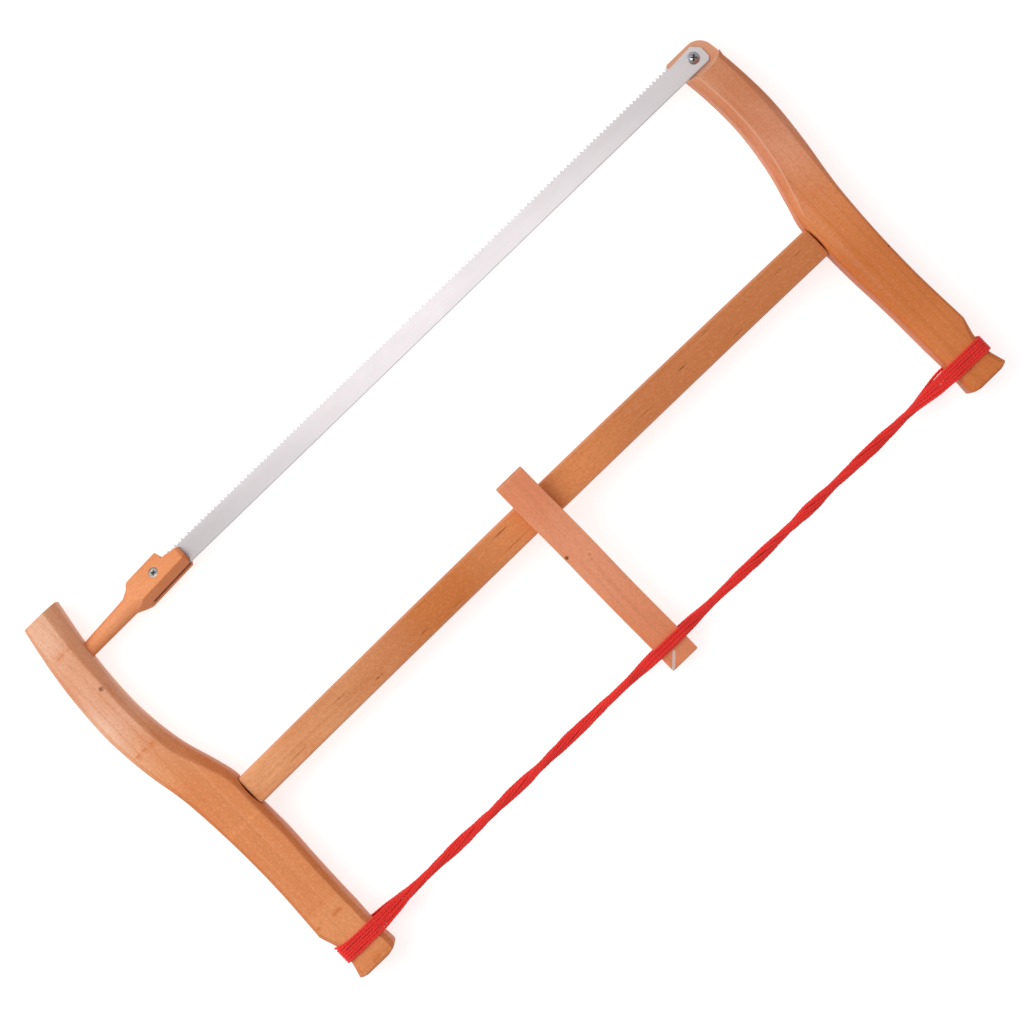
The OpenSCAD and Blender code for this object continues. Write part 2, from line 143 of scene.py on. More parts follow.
class BowSawSteel(bpy.types.PropertyGroup):
    """Blade and screws."""

    blade_colour: colour_prop("Blade", "Ground steel of the blade", (240, 233, 235))
    screw_colour: colour_prop("Holder screw", "Zinc-plated steel", (172, 170, 164))
    chrome_colour: colour_prop("Blade screw", "Bright plated steel", (176, 176, 182))
    tooth_pitch: length_prop("Tooth pitch", "Distance from tooth to tooth", 1.85)
    tooth_depth: length_prop("Tooth depth", "Depth of the gullets", 1.3)
    tooth_set: length_prop("Set", "Sideways set of the teeth", 0.12)


class BowSawCord(bpy.types.PropertyGroup):
    """The wound cord."""

    colour: colour_prop("Twine", "Colour of the laid twine", (252, 52, 44))
    shade_colour: colour_prop("Grooves", "Colour between the plies", (176, 16, 18))
    twine_d: length_prop("Twine diameter", "Diameter of the slack twine", 1.17)
    taut_d: length_prop("Taut diameter", "Diameter of the twine where it is twisted", 1.1)
    lay_pitch: length_prop("Lay", "Length of one turn of the plies", 5.4)
    half_turns: bpy.props.IntProperty(
        name="Half turns", description="Half turns of the cord between neck and toggle",
        default=4, min=0, max=12,
    )


class BowSawStage(bpy.types.PropertyGroup):
    """Floor and lights."""

    floor_colour: colour_prop("Floor", "Pale floor under the saw", (190, 190, 190))
    key_power: bpy.props.FloatProperty(
        name="Key light", description="Power of the large light at the side", default=10.0,
        min=0.0, subtype="POWER", unit="POWER",
    )
    top_power: bpy.props.FloatProperty(
        name="Top light", description="Power of the light above", default=1.2,
        min=0.0, subtype="POWER", unit="POWER",
    )
    room_light: bpy.props.FloatProperty(
        name="Room light", description="Brightness of the pale room", default=0.5, min=0.0,
    )


# ---------------------------------------------------------------- shader maths
class Signal:
    """A socket of a material's nodes that can be used in sums."""

    def __init__(self, finish, socket):
        self.finish = finish
        self.socket = socket

    def maths(self, operation, first, second=0.0):
        sockets = {0: first, 1: second}
        return self.finish.node("ShaderNodeMath", {"operation": operation}, sockets)

    def __add__(self, other):
        return self.maths("ADD", self, other)

    __radd__ = __add__

    def __sub__(self, other):
        return self.maths("SUBTRACT", self, other)

    def __rsub__(self, other):
        return self.maths("SUBTRACT", other, self)

    def __mul__(self, other):
        return self.maths("MULTIPLY", self, other)

    __rmul__ = __mul__

    def __truediv__(self, other):
        return self.maths("DIVIDE", self, other)

    def __abs__(self):
        return self.maths("ABSOLUTE", self)

    def lesser(self, other):
        return self.maths("MINIMUM", self, other)

    def greater(self, other):
        return self.maths("MAXIMUM", self, other)

    def between(self, low, high):
        """0 below low, 1 above high, smooth in between. Low may be above high."""
        return self.finish.node(
            "ShaderNodeMapRange", {"interpolation_type": "SMOOTHSTEP"},
            {"Value": self, "From Min": low, "From Max": high},
        )


class Finish:
    """A node material that is built up from signals."""

    def __init__(self, name):
        self.material = bpy.data.materials.new(name)
        self.material.use_nodes = True
        self.tree = self.material.node_tree
        self.tree.nodes.clear()

    def node(self, kind, settings=None, sockets=None, output=0):
        """Adds a node, sets it, then fills its sockets with values or links."""
        made = self.tree.nodes.new(kind)
        for key, value in (settings or {}).items():
            setattr(made, key, value)
        for key, value in (sockets or {}).items():
            if isinstance(value, Signal):
                self.tree.links.new(value.socket, made.inputs[key])
            else:
                made.inputs[key].default_value = value
        return Signal(self, made.outputs[output]) if len(made.outputs) else None

    def place(self):
        """Object coordinates in millimetres."""
        at = self.node("ShaderNodeTexCoord", output="Object")
        return self.stretch(at, (1 / MM, 1 / MM, 1 / MM))

    def facing(self):
        """Direction that the surface faces, in the object's own axes."""
        return self.node("ShaderNodeTexCoord", output="Normal")

    def stretch(self, vector, by):
        return self.node("ShaderNodeVectorMath", {"operation": "MULTIPLY"}, {0: vector, 1: by})

    def along(self, vector, axis):
        return self.node("ShaderNodeSeparateXYZ", sockets={0: vector}, output="XYZ".index(axis))

    def noise(self, vector, detail=2.0, roughness=0.5, scale=1.0, warp=0.0):
        return self.node(
            "ShaderNodeTexNoise", None,
            {"Vector": vector, "Scale": scale, "Detail": detail, "Roughness": roughness,
             "Distortion": warp},
        )

    def far_from(self, vector, point):
        return self.node(
            "ShaderNodeVectorMath", {"operation": "DISTANCE"}, {0: vector, 1: point}, output=1
        )

    def stored(self, name):
        return self.node("ShaderNodeAttribute", {"attribute_name": name}, output="Fac")

    def mix(self, share, first, second, how="MIX"):
        colours = [c if isinstance(c, Signal) else (*c, 1.0) for c in (first, second)]
        return self.node(
            "ShaderNodeMix", {"data_type": "RGBA", "blend_type": how},
            {0: share, 6: colours[0], 7: colours[1]}, output=2,
        )

    def bump(self, height, depth_mm, strength=1.0):
        return self.node(
            "ShaderNodeBump", None,
            {"Strength": strength, "Distance": depth_mm * MM, "Height": height},
        )

    def surface(self, sockets):
        """Closes the material with its shader."""
        shader = self.node("ShaderNodeBsdfPrincipled", None, sockets)
        self.node("ShaderNodeOutputMaterial", None, {"Surface": shader})
        return self.material


# ---------------------------------------------------------------- finishes
def scaled(colour, by):
    return tuple(min(1.0, c * by) for c in colour)


# Freshly cut wood, wood rubbed pale at an arris with a painted highlight on it, and the inside of a
# split with a painted highlight along it
RAW_WOOD = (0.80, 0.42, 0.27)
EDGE_WOOD = (0.83, 0.44, 0.29)
SPLIT_WOOD_AND_GLINT = (0.78, 0.62, 0.55)


def beech(name, axis, plain, pale, pale_span, marks=(), specks=(), dashes=(), streaks=0.5,
          flecks=0.5, seed=0.0, wear_and_sheen=0.5, arris=0.0, tints=(), cut_wood_and_shade=None, split=None):
    """Oiled beech with its grain along one axis.

    pale_span: where the pale wood starts to fade, and where the plain wood begins
    marks: faint cross cuts, by place along the grain, strength and tone
    specks: dark spots, by point, radius and strength
    dashes: long dark flecks, by point, length and strength
    wear_and_sheen: how pale the rubbed arrises are, rubbed wear with a painted highlight; arris: how
    much painted shade darkens the slanting faces
    tints: places along the grain, with their reach and the tone the wood takes there
    cut_wood_and_shade: a masking function and the colour laid where it is 1, freshly cut wood on the
    lap and a painted shadow in the holder's kerf
    split: the two ends of a pale crack, paler split wood with a painted highlight, and its width"""
    wood = bpy.context.scene.bow_saw_wood
    finish = Finish(name)
    at = finish.place()
    shifted = finish.node(
        "ShaderNodeVectorMath", {"operation": "ADD"}, {0: at, 1: (seed, 2 * seed, 3 * seed)}
    )
    long_x = axis == "X"

    def grained(run, across, deep=None):
        deep = across if deep is None else deep
        return finish.stretch(shifted, (run, across, deep) if long_x else (across, run, deep))

    run = finish.along(at, axis)
    face = finish.facing()
    up = finish.along(face, "Z").between(0.75, 0.98)
    end_grain = abs(finish.along(face, axis)).between(0.72, 0.95)

    clouds = finish.noise(grained(0.018, 0.05), detail=3.0)
    bands = finish.noise(grained(0.006, 0.42, 0.2), detail=5.0, roughness=0.6, warp=0.35)
    fine = finish.noise(grained(0.05, 3.4), detail=3.0, roughness=0.6)
    mottle = finish.noise(grained(0.7, 1.1), detail=4.0, roughness=0.65)
    rays = finish.noise(grained(0.34, 3.2, 3.2), detail=1.5, roughness=0.4)
    grains = finish.noise(grained(1.6, 2.6), detail=3.0, roughness=0.7)
    pores = finish.noise(grained(1.1, 11.0), detail=1.0)

    pale_share = run.between(pale_span[1], pale_span[0])
    colour = finish.mix(pale_share * (0.65 + 0.5 * clouds), plain, pale)
    for middle, reach, tone in tints:
        near = abs(run - middle).between(reach, reach * 0.25)
        colour = finish.mix(near, colour, tone, "MULTIPLY")
    warm = (plain[0] * 0.9, plain[1] * 0.76, plain[2] * 0.58)
    fleck = rays.between(0.63, 0.74) * flecks
    pore = pores.between(0.62, 0.78)
    rings = finish.noise(finish.stretch(shifted, (0.5, 0.5, 1.2)), detail=3.0)
    layers = [
        (clouds.between(0.4, 0.66) * 0.5, warm),
        (bands.between(0.5, 0.68) * streaks, scaled(plain, 0.8)),
        (bands.between(0.46, 0.3) * streaks * 0.6, pale),
        (fine.between(0.45, 0.75) * 0.16, scaled(plain, 0.72)),
        (mottle.between(0.45, 0.7) * 0.26, scaled(plain, 0.76)),
        (mottle.between(0.5, 0.3) * 0.2, scaled(pale, 1.1)),
        (grains.between(0.5, 0.72) * 0.22, scaled(plain, 0.74)),
        (grains.between(0.45, 0.28) * 0.1, scaled(pale, 1.14)),
        (fleck * 0.55, wood.fleck_colour),
        (pore * 0.2, wood.fleck_colour),
        (end_grain * (0.16 + 0.28 * rings), scaled(plain, 0.55)),
    ]
    for share, tone in layers:
        colour = finish.mix(share, colour, tone)

    height = 0.4 * mottle + 0.35 * fine - 0.5 * fleck - 0.7 * pore + 0.6 * clouds
    ragged = finish.noise(grained(0.35, 0.5), detail=3.0)
    for place, strength, shade in marks:
        wander = place + 1.1 * (finish.noise(grained(0.0, 0.06)) - 0.5)
        line = (1.0 - abs(run - wander).between(0.1, 0.62)) * up * ragged.between(0.36, 0.6)
        smudge = (1.0 - abs(run - wander).between(0.6, 2.6)) * up * ragged.between(0.4, 0.75)
        toned = (plain[0] * shade ** 0.5, plain[1] * shade, plain[2] * shade ** 1.5)
        colour = finish.mix((0.45 * line + 0.75 * smudge) * strength, colour, toned)
        height = height - line * strength * 0.3
    for point, radius, strength in specks:
        spot = finish.far_from(at, point).between(radius * 1.35, radius * 0.45)
        colour = finish.mix(spot * strength, colour, scaled(wood.fleck_colour, 0.7))
        height = height - spot * strength
    shape = (0.28, 2.2, 0.8) if long_x else (2.2, 0.28, 0.8)
    for point, length, strength in dashes:
        shape_now = (shape[0] * 3.5 / length if long_x else shape[0], shape[1], shape[2])
        squeezed = finish.stretch(at, shape_now)
        spot = finish.far_from(squeezed, tuple(a * b for a, b in zip(point, shape_now)))
        spot = spot.between(0.75, 0.2) * ragged.between(0.3, 0.55)
        colour = finish.mix(spot * strength, colour, scaled(wood.fleck_colour, 0.75))
        height = height - spot * strength * 0.7

    # Painted shade: the steeper a face, the darker its colour is made.
    side = abs(finish.along(face, "Z")).between(0.92, 0.25)
    colour = finish.mix(side * 0.8, colour, (0.76, 0.58, 0.44), "MULTIPLY")
    # Painted shade on the slanting arrises, by the stored slant and the piece's arris share.
    slant = finish.stored("slant") * (1.0 - side)
    colour = finish.mix(slant * arris, colour, (0.7, 0.52, 0.38), "MULTIPLY")
    # Rubbed wear with a painted highlight along the arrises.
    worn_and_lit = finish.stored("worn_and_lit").between(0.1, 0.9)
    worn_and_lit = worn_and_lit * (0.35 + 0.8 * mottle)
    colour = finish.mix(worn_and_lit * wear_and_sheen, colour, EDGE_WOOD)
    rough = wood.roughness + 0.16 * (mottle - 0.5) + 0.1 * (fine - 0.5) + 0.12 * fleck
    rough = rough - 0.07 * worn_and_lit + 0.14 * end_grain
    # Freshly cut wood on the lap, painted shadow in the holder's kerf, wherever the mask is 1.
    if cut_wood_and_shade:
        mask, tone = cut_wood_and_shade
        cut = mask(finish, at)
        colour = finish.mix(cut * (0.5 + 0.5 * grains), colour, tone)
        rough = rough + 0.2 * cut
    # The split: paler split wood with a painted highlight along it.
    if split:
        crack = crack_mask(finish, at, *split)
        colour = finish.mix(crack, colour, SPLIT_WOOD_AND_GLINT)
        rough = rough + 0.2 * crack
    return finish.surface({
        "Base Color": colour,
        "Roughness": rough,
        "Coat Weight": (0.7 + 0.6 * clouds) * wood.coat,
        "Coat Roughness": 0.3,
        "Specular IOR Level": 0.1,
        "Normal": finish.bump(height, 0.06, 0.8),
    })


def crack_mask(finish, at, start, end, width):
    """1 along a straight crack in the plane of X and Y."""
    along = Vector(end) - Vector(start)
    length = along.length
    along = along / length
    x = finish.along(at, "X") - start[0]
    y = finish.along(at, "Y") - start[1]
    run = x * along[0] + y * along[1]
    aside = abs(x * -along[1] + y * along[0])
    band = aside.between(width * 0.62, width * 0.34)
    return band * run.between(length + 0.4, length) * run.between(-1.4, -0.9)


def ground_steel():
    """Satin blade steel: fine lengthwise grinding, soft clouds, a few stains, a painted reflection that
    leaves it darker towards both ends, and painted shade along its back edge.
    """
    steel = bpy.context.scene.bow_saw_steel
    finish = Finish("blade_steel")
    at = finish.place()
    clouds = finish.noise(finish.stretch(at, (0.03, 0.12, 0.1)), detail=3.0)
    brushed = finish.noise(finish.stretch(at, (0.15, 9.0, 3.0)), detail=3.0, roughness=0.6)
    grain = finish.noise(finish.stretch(at, (3.0, 3.0, 3.0)), detail=2.0)
    stains = finish.noise(finish.stretch(at, (0.25, 0.4, 0.2)), detail=4.0, roughness=0.7)
    scratch = finish.noise(finish.stretch(at, (0.05, 5.0, 2.0)), detail=1.0, warp=0.3)
    colour = finish.mix(clouds.between(0.35, 0.7) * 0.35, steel.blade_colour,
                        scaled(steel.blade_colour, 0.86))
    colour = finish.mix(brushed.between(0.4, 0.75) * 0.22, colour, scaled(steel.blade_colour, 0.8))
    colour = finish.mix(stains.between(0.66, 0.8) * 0.3, colour, scaled(steel.blade_colour, 0.66))
    scored = scratch.between(0.69, 0.74)
    colour = finish.mix(scored * 0.25, colour, (0.9, 0.9, 0.9))
    run = finish.along(at, "X")
    # Painted reflection: the steel is darkened towards both ends, most at the left, so that the middle
    # reads bright.
    lengthwise_ramp = (1.0 - run.between(-165.0, 40.0)) * 0.9 + run.between(70.0, 200.0) * 0.2
    colour = finish.mix(lengthwise_ramp, colour, scaled(steel.blade_colour, 0.4))
    # Painted shade along the blade's back edge, patchy with the stains.
    back = finish.along(at, "Y").between(BLADE_Y - 4.35, BLADE_Y - 4.9)
    colour = finish.mix(back * (0.35 + 0.4 * stains), colour, scaled(steel.blade_colour, 0.3))
    ground = finish.stored("ground")
    colour = finish.mix(ground * 0.45, colour, (0.93, 0.93, 0.94))
    rough = 0.33 + 0.12 * (brushed - 0.5) + 0.1 * (grain - 0.5) + 0.06 * stains - 0.08 * ground
    height = 0.6 * brushed + 0.3 * grain - 0.4 * scored
    return finish.surface({
        "Base Color": colour,
        "Metallic": 0.88,
        "Roughness": rough,
        "Normal": finish.bump(height, 0.012, 0.6),
    })


def plated_steel(name, colour, rough, tarnish):
    """Turned and plated screw steel, with painted shade in its recess."""
    finish = Finish(name)
    at = finish.place()
    clouds = finish.noise(finish.stretch(at, (0.9, 0.9, 0.9)), detail=3.0)
    grain = finish.noise(finish.stretch(at, (5.0, 5.0, 5.0)), detail=3.0, roughness=0.6)
    tone = finish.mix(clouds.between(0.4, 0.7) * tarnish, colour, scaled(colour, 0.6))
    # Painted shade: the cross recess is made nearly black.
    recess = finish.stored("recess")
    tone = finish.mix(recess * 0.9, tone, scaled(colour, 0.12))
    return finish.surface({
        "Base Color": tone,
        "Metallic": 1.0,
        "Roughness": rough + 0.1 * (grain - 0.5) + 0.14 * clouds.between(0.4, 0.8) + 0.3 * recess,
        "Normal": finish.bump(grain, 0.02, 0.5),
    })


def laid_twine():
    """Matt red twine with fine fibres that follow its plies, and painted shade in the grooves between
    the plies.
    """
    cord = bpy.context.scene.bow_saw_cord
    finish = Finish("red_twine")
    at = finish.place()
    run = finish.stored("run")
    turn = finish.stored("turn")
    groove = finish.stored("groove")
    strand = finish.node(
        "ShaderNodeCombineXYZ", None, {0: run * 0.5, 1: turn * 7.0, 2: finish.stored("number") * 3.7}
    )
    fibres = finish.noise(strand, detail=3.0, roughness=0.65, scale=1.6)
    fuzz = finish.noise(at, detail=3.0, roughness=0.7, scale=2.6)
    clouds = finish.noise(at, detail=2.0, scale=0.09)
    shade = scaled(cord.colour, 0.7)
    colour = finish.mix(fibres.between(0.42, 0.72) * 0.5, cord.colour, shade)
    colour = finish.mix(clouds.between(0.35, 0.7) * 0.25, colour, shade)
    colour = finish.mix(fibres.between(0.42, 0.24) * 0.35, colour, (0.95, 0.12, 0.09))
    # Painted shade in the grooves between the plies.
    colour = finish.mix(groove.between(0.45, 1.0) * 0.34, colour, cord.shade_colour)
    height = 0.7 * fibres + 0.5 * fuzz - 0.8 * groove
    return finish.surface({
        "Base Color": colour,
        "Roughness": 0.72 + 0.2 * (fuzz - 0.5),
        "Sheen Weight": 0.25,
        "Sheen Roughness": 0.4,
        "Sheen Tint": (1.0, 0.55, 0.5, 1.0),
        "Specular IOR Level": 0.35,
        "Normal": finish.bump(height, 0.1, 0.9),
    })


def matt_paper(name, colour, glow):
    """Seamless pale studio paper."""
    finish = Finish(name)
    at = finish.place()
    grain = finish.noise(at, detail=3.0, scale=0.4)
    tone = finish.mix(grain.between(0.3, 0.7) * 0.04, colour, scaled(colour, 0.96))
    return finish.surface({
        "Base Color": tone,
        "Roughness": 0.9,
        "Emission Color": (1.0, 1.0, 1.0, 1.0),
        "Emission Strength": glow,
        "Normal": finish.bump(grain, 0.02, 0.2),
    })


# ---------------------------------------------------------------- mesh helpers
def new_piece(name, points, faces, stored=None):
    """A mesh object from points in millimetres, with its normals facing out."""
    mesh = bpy.data.meshes.new(name)
    mesh.from_pydata((np.asarray(points, float) * MM).tolist(), [], faces)
    for key, values in (stored or {}).items():
        layer = mesh.attributes.new(key, "FLOAT", "POINT")
        layer.data.foreach_set("value", np.asarray(values, np.float32))
    shape = bmesh.new()
    shape.from_mesh(mesh)
    bmesh.ops.recalc_face_normals(shape, faces=shape.faces)
    shape.to_mesh(mesh)
    shape.free()
    piece = bpy.data.objects.new(name, mesh)
    bpy.context.scene.collection.objects.link(piece)
    return piece


def loft(rings):
    """Points and faces through rings of equally many points, with a fan at each end."""
    rings = np.asarray(rings, float)
    count, around, _ = rings.shape
    points = rings.reshape(-1, 3)
    faces = []
    for i in range(count - 1):
        for k in range(around):
            a = i * around + k
            b = i * around + (k + 1) % around
            faces.append((a, b, b + around, a + around))
    centres = np.array([rings[0].mean(0), rings[-1].mean(0)])
    points = np.vstack([points, centres])
    for end, first in ((0, 0), (1, (count - 1) * around)):
        for k in range(around):
            faces.append((first + k, first + (k + 1) % around, count * around + end))
    return points, faces


def prism(outline, low, high, axis=2):
    """Points and faces of an outline swept from low to high along one axis."""
    outline = np.asarray(outline, float)
    rings = []
    for level in (low, high):
        rings.append(np.insert(outline, axis, level, axis=1))
    points = np.vstack(rings)
    n = len(outline)
    faces = [tuple(range(n)), tuple(range(n, 2 * n))]
    for k in range(n):
        j = (k + 1) % n
        faces.append((k, j, j + n, k + n))
    return points, faces


def bake_modifiers(piece):
    """Makes the piece's mesh what its modifiers show."""
    graph = bpy.context.evaluated_depsgraph_get()
    mesh = bpy.data.meshes.new_from_object(piece.evaluated_get(graph))
    piece.modifiers.clear()
    old = piece.data
    piece.data = mesh
    bpy.data.meshes.remove(old)


def carve(piece, points, faces):
    """Cuts a shape out of a piece."""
    cutter = new_piece("cutter", points, faces)
    modifier = piece.modifiers.new("carve", "BOOLEAN")
    modifier.operation = "DIFFERENCE"
    modifier.solver = "EXACT"
    modifier.object = cutter
    bake_modifiers(piece)
    bpy.data.objects.remove(cutter)


def ease_edges(piece, width, angle, segments=2):
    """Breaks the sharp edges of a piece with a fine bevel."""
    modifier = piece.modifiers.new("ease", "BEVEL")
    modifier.width = width * MM
    modifier.segments = segments
    modifier.limit_method = "ANGLE"
    modifier.angle_limit = math.radians(angle)
    modifier.use_clamp_overlap = True
    bake_modifiers(piece)


def polish(piece, angle=32.0):
    """Smooth shading, broken at edges sharper than the angle."""
    for face in piece.data.polygons:
        face.use_smooth = True
    piece.data.set_sharp_from_angle(angle=math.radians(angle))
    return piece


def dress(piece, material, body, nodes):
    """Gives a piece its finish and its body, and hides the frame nodes it stands for."""
    piece.data.materials.clear()
    piece.data.materials.append(material)
    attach(piece, body)
    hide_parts(*nodes)


def frame_copy(node, name):
    """A welded copy of a frame node's mesh, to be refined."""
    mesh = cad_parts[node].data.copy()
    mesh.name = name
    shape = bmesh.new()
    shape.from_mesh(mesh)
    bmesh.ops.remove_doubles(shape, verts=shape.verts, dist=0.002 * MM)
    bmesh.ops.dissolve_limit(
        shape, angle_limit=math.radians(0.6), verts=shape.verts, edges=shape.edges
    )
    bmesh.ops.recalc_face_normals(shape, faces=shape.faces)
    clean = bpy.data.meshes.new(name)
    shape.to_mesh(clean)
    shape.free()
    bpy.data.meshes.remove(mesh)
    piece = bpy.data.objects.new(name, clean)
    bpy.context.scene.collection.objects.link(piece)
    return piece


def smooth_step(t):
    t = np.clip(t, 0.0, 1.0)
    return t * t * (3 - 2 * t)


# ---------------------------------------------------------------- cheeks
# Widths of a cheek at its belly, hollow and seat, and heights above and below the axis
BELLY = 26.0
HOLLOW = 8.7
SEAT = 20.0
RISE = 87.0
DROP = 74.0
HORN_TOP = RISE + 21.0
FOOT_END = DROP + 13.0
BAND = 7.0
NECK_TOP = DROP - BAND / 2 - 8.0
NECK_LIFT = 1.7
NECK_OUT = SEAT + 0.3 - 2.1
# Rows of a cheek: height above the stretcher's axis, inner and outer edge from the
# shoulder, width and depth of the inner and of the outer arris
LEFT_ROWS = [
    [HORN_TOP + 0.3, HOLLOW - 5.7, BELLY - 6.5, 6.6, 4.6, 1.6, 1.6],
    [RISE + 3, HOLLOW - 2.4, BELLY - 3, 5.2, 4.2, 1.8, 1.8],
    [0.83 * RISE, HOLLOW - 0.3, BELLY - 0.8, 3.9, 3.6, 2.0, 2.0],
    [0.61 * RISE, HOLLOW, BELLY, 4.1, 3.6, 2.0, 2.2],
    [0.39 * RISE, HOLLOW - 2.5, BELLY - 1.6, 5.0, 3.8, 2.0, 2.2],
    [0.2 * RISE, 1.4, SEAT + 1.4, 4.0, 3.4, 1.8, 2.0],
    [7.3, -0.8, SEAT + 0.2, 3.2, 3.0, 1.6, 1.8],
    [-7.3, -0.8, SEAT - 0.8, 2.9, 2.8, 1.5, 1.7],
    [-0.3 * DROP, -0.8, SEAT - 1.3, 2.6, 2.2, 1.5, 1.6],
    [-0.54 * DROP, 0.3, SEAT - 1.2, 2.6, 2.0, 1.5, 1.6],
    [-NECK_TOP, 1.1, SEAT + 0.0, 2.4, 2.0, 1.6, 1.6],
]
RIGHT_ROWS = [
    [HORN_TOP, HOLLOW - 5.2, BELLY - 6.5, 3.4, 3.0, 2.6, 2.6],
    [RISE + 3, HOLLOW - 2.4, BELLY - 3, 3.4, 3.0, 2.6, 2.6],
    [0.83 * RISE, HOLLOW - 0.3, BELLY - 0.8, 3.4, 3.0, 2.6, 2.7],
    [0.61 * RISE, HOLLOW, BELLY, 3.6, 3.2, 3.4, 3.2],
    [0.39 * RISE, HOLLOW - 2.5, BELLY - 1.6, 3.6, 3.2, 3.2, 3.0],
    [0.2 * RISE, 2, SEAT + 1.9, 3.2, 3.2, 2.2, 2.4],
    [7.3, -0.5, SEAT + 0.6, 2.7, 2.8, 1.6, 1.8],
    [-7.3, -0.4, SEAT - 0.4, 2.4, 2.6, 1.2, 1.5],
    [-0.3 * DROP, 0, SEAT - 0.9, 2.0, 2.0, 1.1, 1.4],
    [-0.54 * DROP, 1, SEAT - 0.8, 2.0, 2.0, 1.1, 1.4],
    [-NECK_TOP, 1.5, SEAT + 0.3, 2.2, 2.0, 1.2, 1.4],
]
NECK_ROWS = [
    [-DROP + BAND / 2 + 1, 1.6, NECK_OUT, 2.4, 2.4, 2.4, 2.4],
    [-DROP - BAND / 2 - 1, 1.6, NECK_OUT, 2.4, 2.4, 2.4, 2.4],
    [-FOOT_END, 1.6, SEAT - 0.4, 1.8, 1.8, 1.6, 1.6],
]
# How far the corners of the foot's end grain stand above its middle, and the roundness
# of the arrises: 1 is a flat chamfer and 2 a quarter circle
FOOT_CROWN = 1.0
CORNER_SHAPE = 1.38
# Radius of the right cheek's rounded top, and how far its outer side is widened there
CROWN_R = 6.0
CROWN_OUT = 1.3
# Rubbed wear with a painted highlight around an arris, from the face to the edge
ARRIS_WEAR_AND_SHEEN = [0.0, 1.0, 0.3, 0.06, 0.0, 0.0, 0.0, 0.0, 0.0]
# Painted shade on the inner and outer arrises, for the left and the right cheek
SLANT_SHADE = {-1: (1.0, 0.6), 1: (0.2, 0.8)}
# Radius of the foot's inner and outer corners, and the extra length of the right foot
FOOT_CORNERS = {-1: (3.0, 1.4), 1: (1.7, 1.5)}
LONGER_FOOT = 2.1
# How much further out the outer edge of the neck and of the foot lies, left and right
NECK_SHIFT = {-1: (-0.5, -0.1), 1: (0.2, 0.8)}
# How much lower the stretcher's ends lie than its nominal line
END_DROP = 0.75


def catmull_run(rows, steps):
    """Smooth run of rows through every given row."""
    rows = np.asarray(rows, float)
    made = []
    last = len(rows) - 1
    for i in range(last):
        p0, p1, p2, p3 = rows[max(i - 1, 0)], rows[i], rows[i + 1], rows[min(i + 2, last)]
        for t in np.arange(steps) / steps:
            made.append(0.5 * (2 * p1 + (p2 - p0) * t + (2 * p0 - 5 * p1 + 4 * p2 - p3) * t * t
                               + (3 * p1 - p0 - 3 * p2 + p3) * t ** 3))
    made.append(rows[last])
    return np.array(made)


def cheek_rows(rows, top=None):
    """Dense rows of a cheek from top to foot, with the lift of its back and the inset
    of its rounded ends added. A top below the horn cuts it off with a round corner."""
    body = catmull_run(rows, 10)
    neck = np.vstack([body[-1], np.asarray(NECK_ROWS)])
    knots = -neck[:, 0]
    heights = np.arange(knots[0], knots[-1], 0.8)[1:]
    lower = np.array([[np.interp(h, knots, neck[:, c]) for c in range(7)] for h in heights])
    soft = np.array([0.0, 0.2, 0.6, 0.2, 0.0])
    for c in range(1, 7):
        padded = np.pad(lower[:, c], 2, mode="edge")
        lower[:, c] = np.convolve(padded, soft, mode="valid")
    run = np.vstack([body, lower, neck[-1:]])
    lift_knots = [NECK_TOP, DROP - BAND / 2 - 1, DROP + BAND / 2 + 1, FOOT_END]
    lift = np.interp(-run[:, 0], lift_knots, [0.0, NECK_LIFT, NECK_LIFT, 0.0])
    run = np.column_stack([run, lift, np.zeros(len(run))])
    if top is not None:
        base = top - CROWN_R
        columns = [np.interp(-base, -run[:, 0], run[:, c]) for c in range(9)]
        crown = []
        for a in np.radians(np.linspace(88, 0, 16)):
            v = base + CROWN_R * math.sin(a)
            row = [np.interp(-v, -run[:, 0], run[:, c]) for c in range(9)]
            row[0] = v
            row[2] += CROWN_OUT - CROWN_R * (1 - math.cos(a))
            row[5:7] = [min(arris, 1.3 + 1.5 * math.cos(a)) for arris in row[5:7]]
            row[8] = 0.5 * max(0.0, math.degrees(a) / 22 - 3) ** 2
            crown.append(row)
        below = run[run[:, 0] < base - 0.5]
        columns[2] += CROWN_OUT
        below[:, 2] += CROWN_OUT * smooth_step((below[:, 0] - base + 6.1) / 1.7)
        return round_end(np.vstack([crown, [columns], below]), -1, 1.1)
    return round_end(round_end(run, 0, 0.25), -1, 1.1)


def round_end(run, end, radius):
    """Adds rows that round off one end of a run."""
    outward = 1.0 if end == 0 else -1.0
    rim = run[end].copy()
    limit = rim[0] - outward * radius
    kept = run[run[:, 0] < limit] if end == 0 else run[run[:, 0] > limit]
    added = []
    for a in np.radians(np.linspace(0, 90, 7)):
        row = rim.copy()
        row[0] = limit + outward * radius * math.sin(a)
        row[8] = radius * (1 - math.cos(a))
        added.append(row)
    if end == 0:
        return np.vstack([added[::-1], kept])
    return np.vstack([kept, added])


def foot_shift(side, v):
    """How much lower a cheek's foot lies than in the plain outline."""
    if side < 0:
        return 0.0
    return LONGER_FOOT * float(np.interp(-v, [20, 62, 72, 80], [0.0, 0.45, 0.8, 1.0]))


def toe_in(side, v):
    """How much further in the left cheek's foot lies than in the plain outline."""
    if side > 0:
        return 0.0
    return float(np.interp(-v, [15, 40, 58, 66, 74, 87], [0.0, 0.5, 0.7, 1.05, 1.5, 1.9]))


def toe_out(side, v):
    """How much further out the outer edge of a neck and a foot lies."""
    neck, foot = NECK_SHIFT[side]
    knots = [NECK_TOP, DROP - BAND / 2 - 1, DROP + BAND / 2 + 1, FOOT_END]
    return float(np.interp(-v, knots, [0.0, neck, neck, foot]))


def corner_inset(v, radius):
    near = 1 - (v + FOOT_END) / radius
    return radius * (1 - math.sqrt(1 - min(near, 1.0) ** 2)) if near > 0 else 0.0


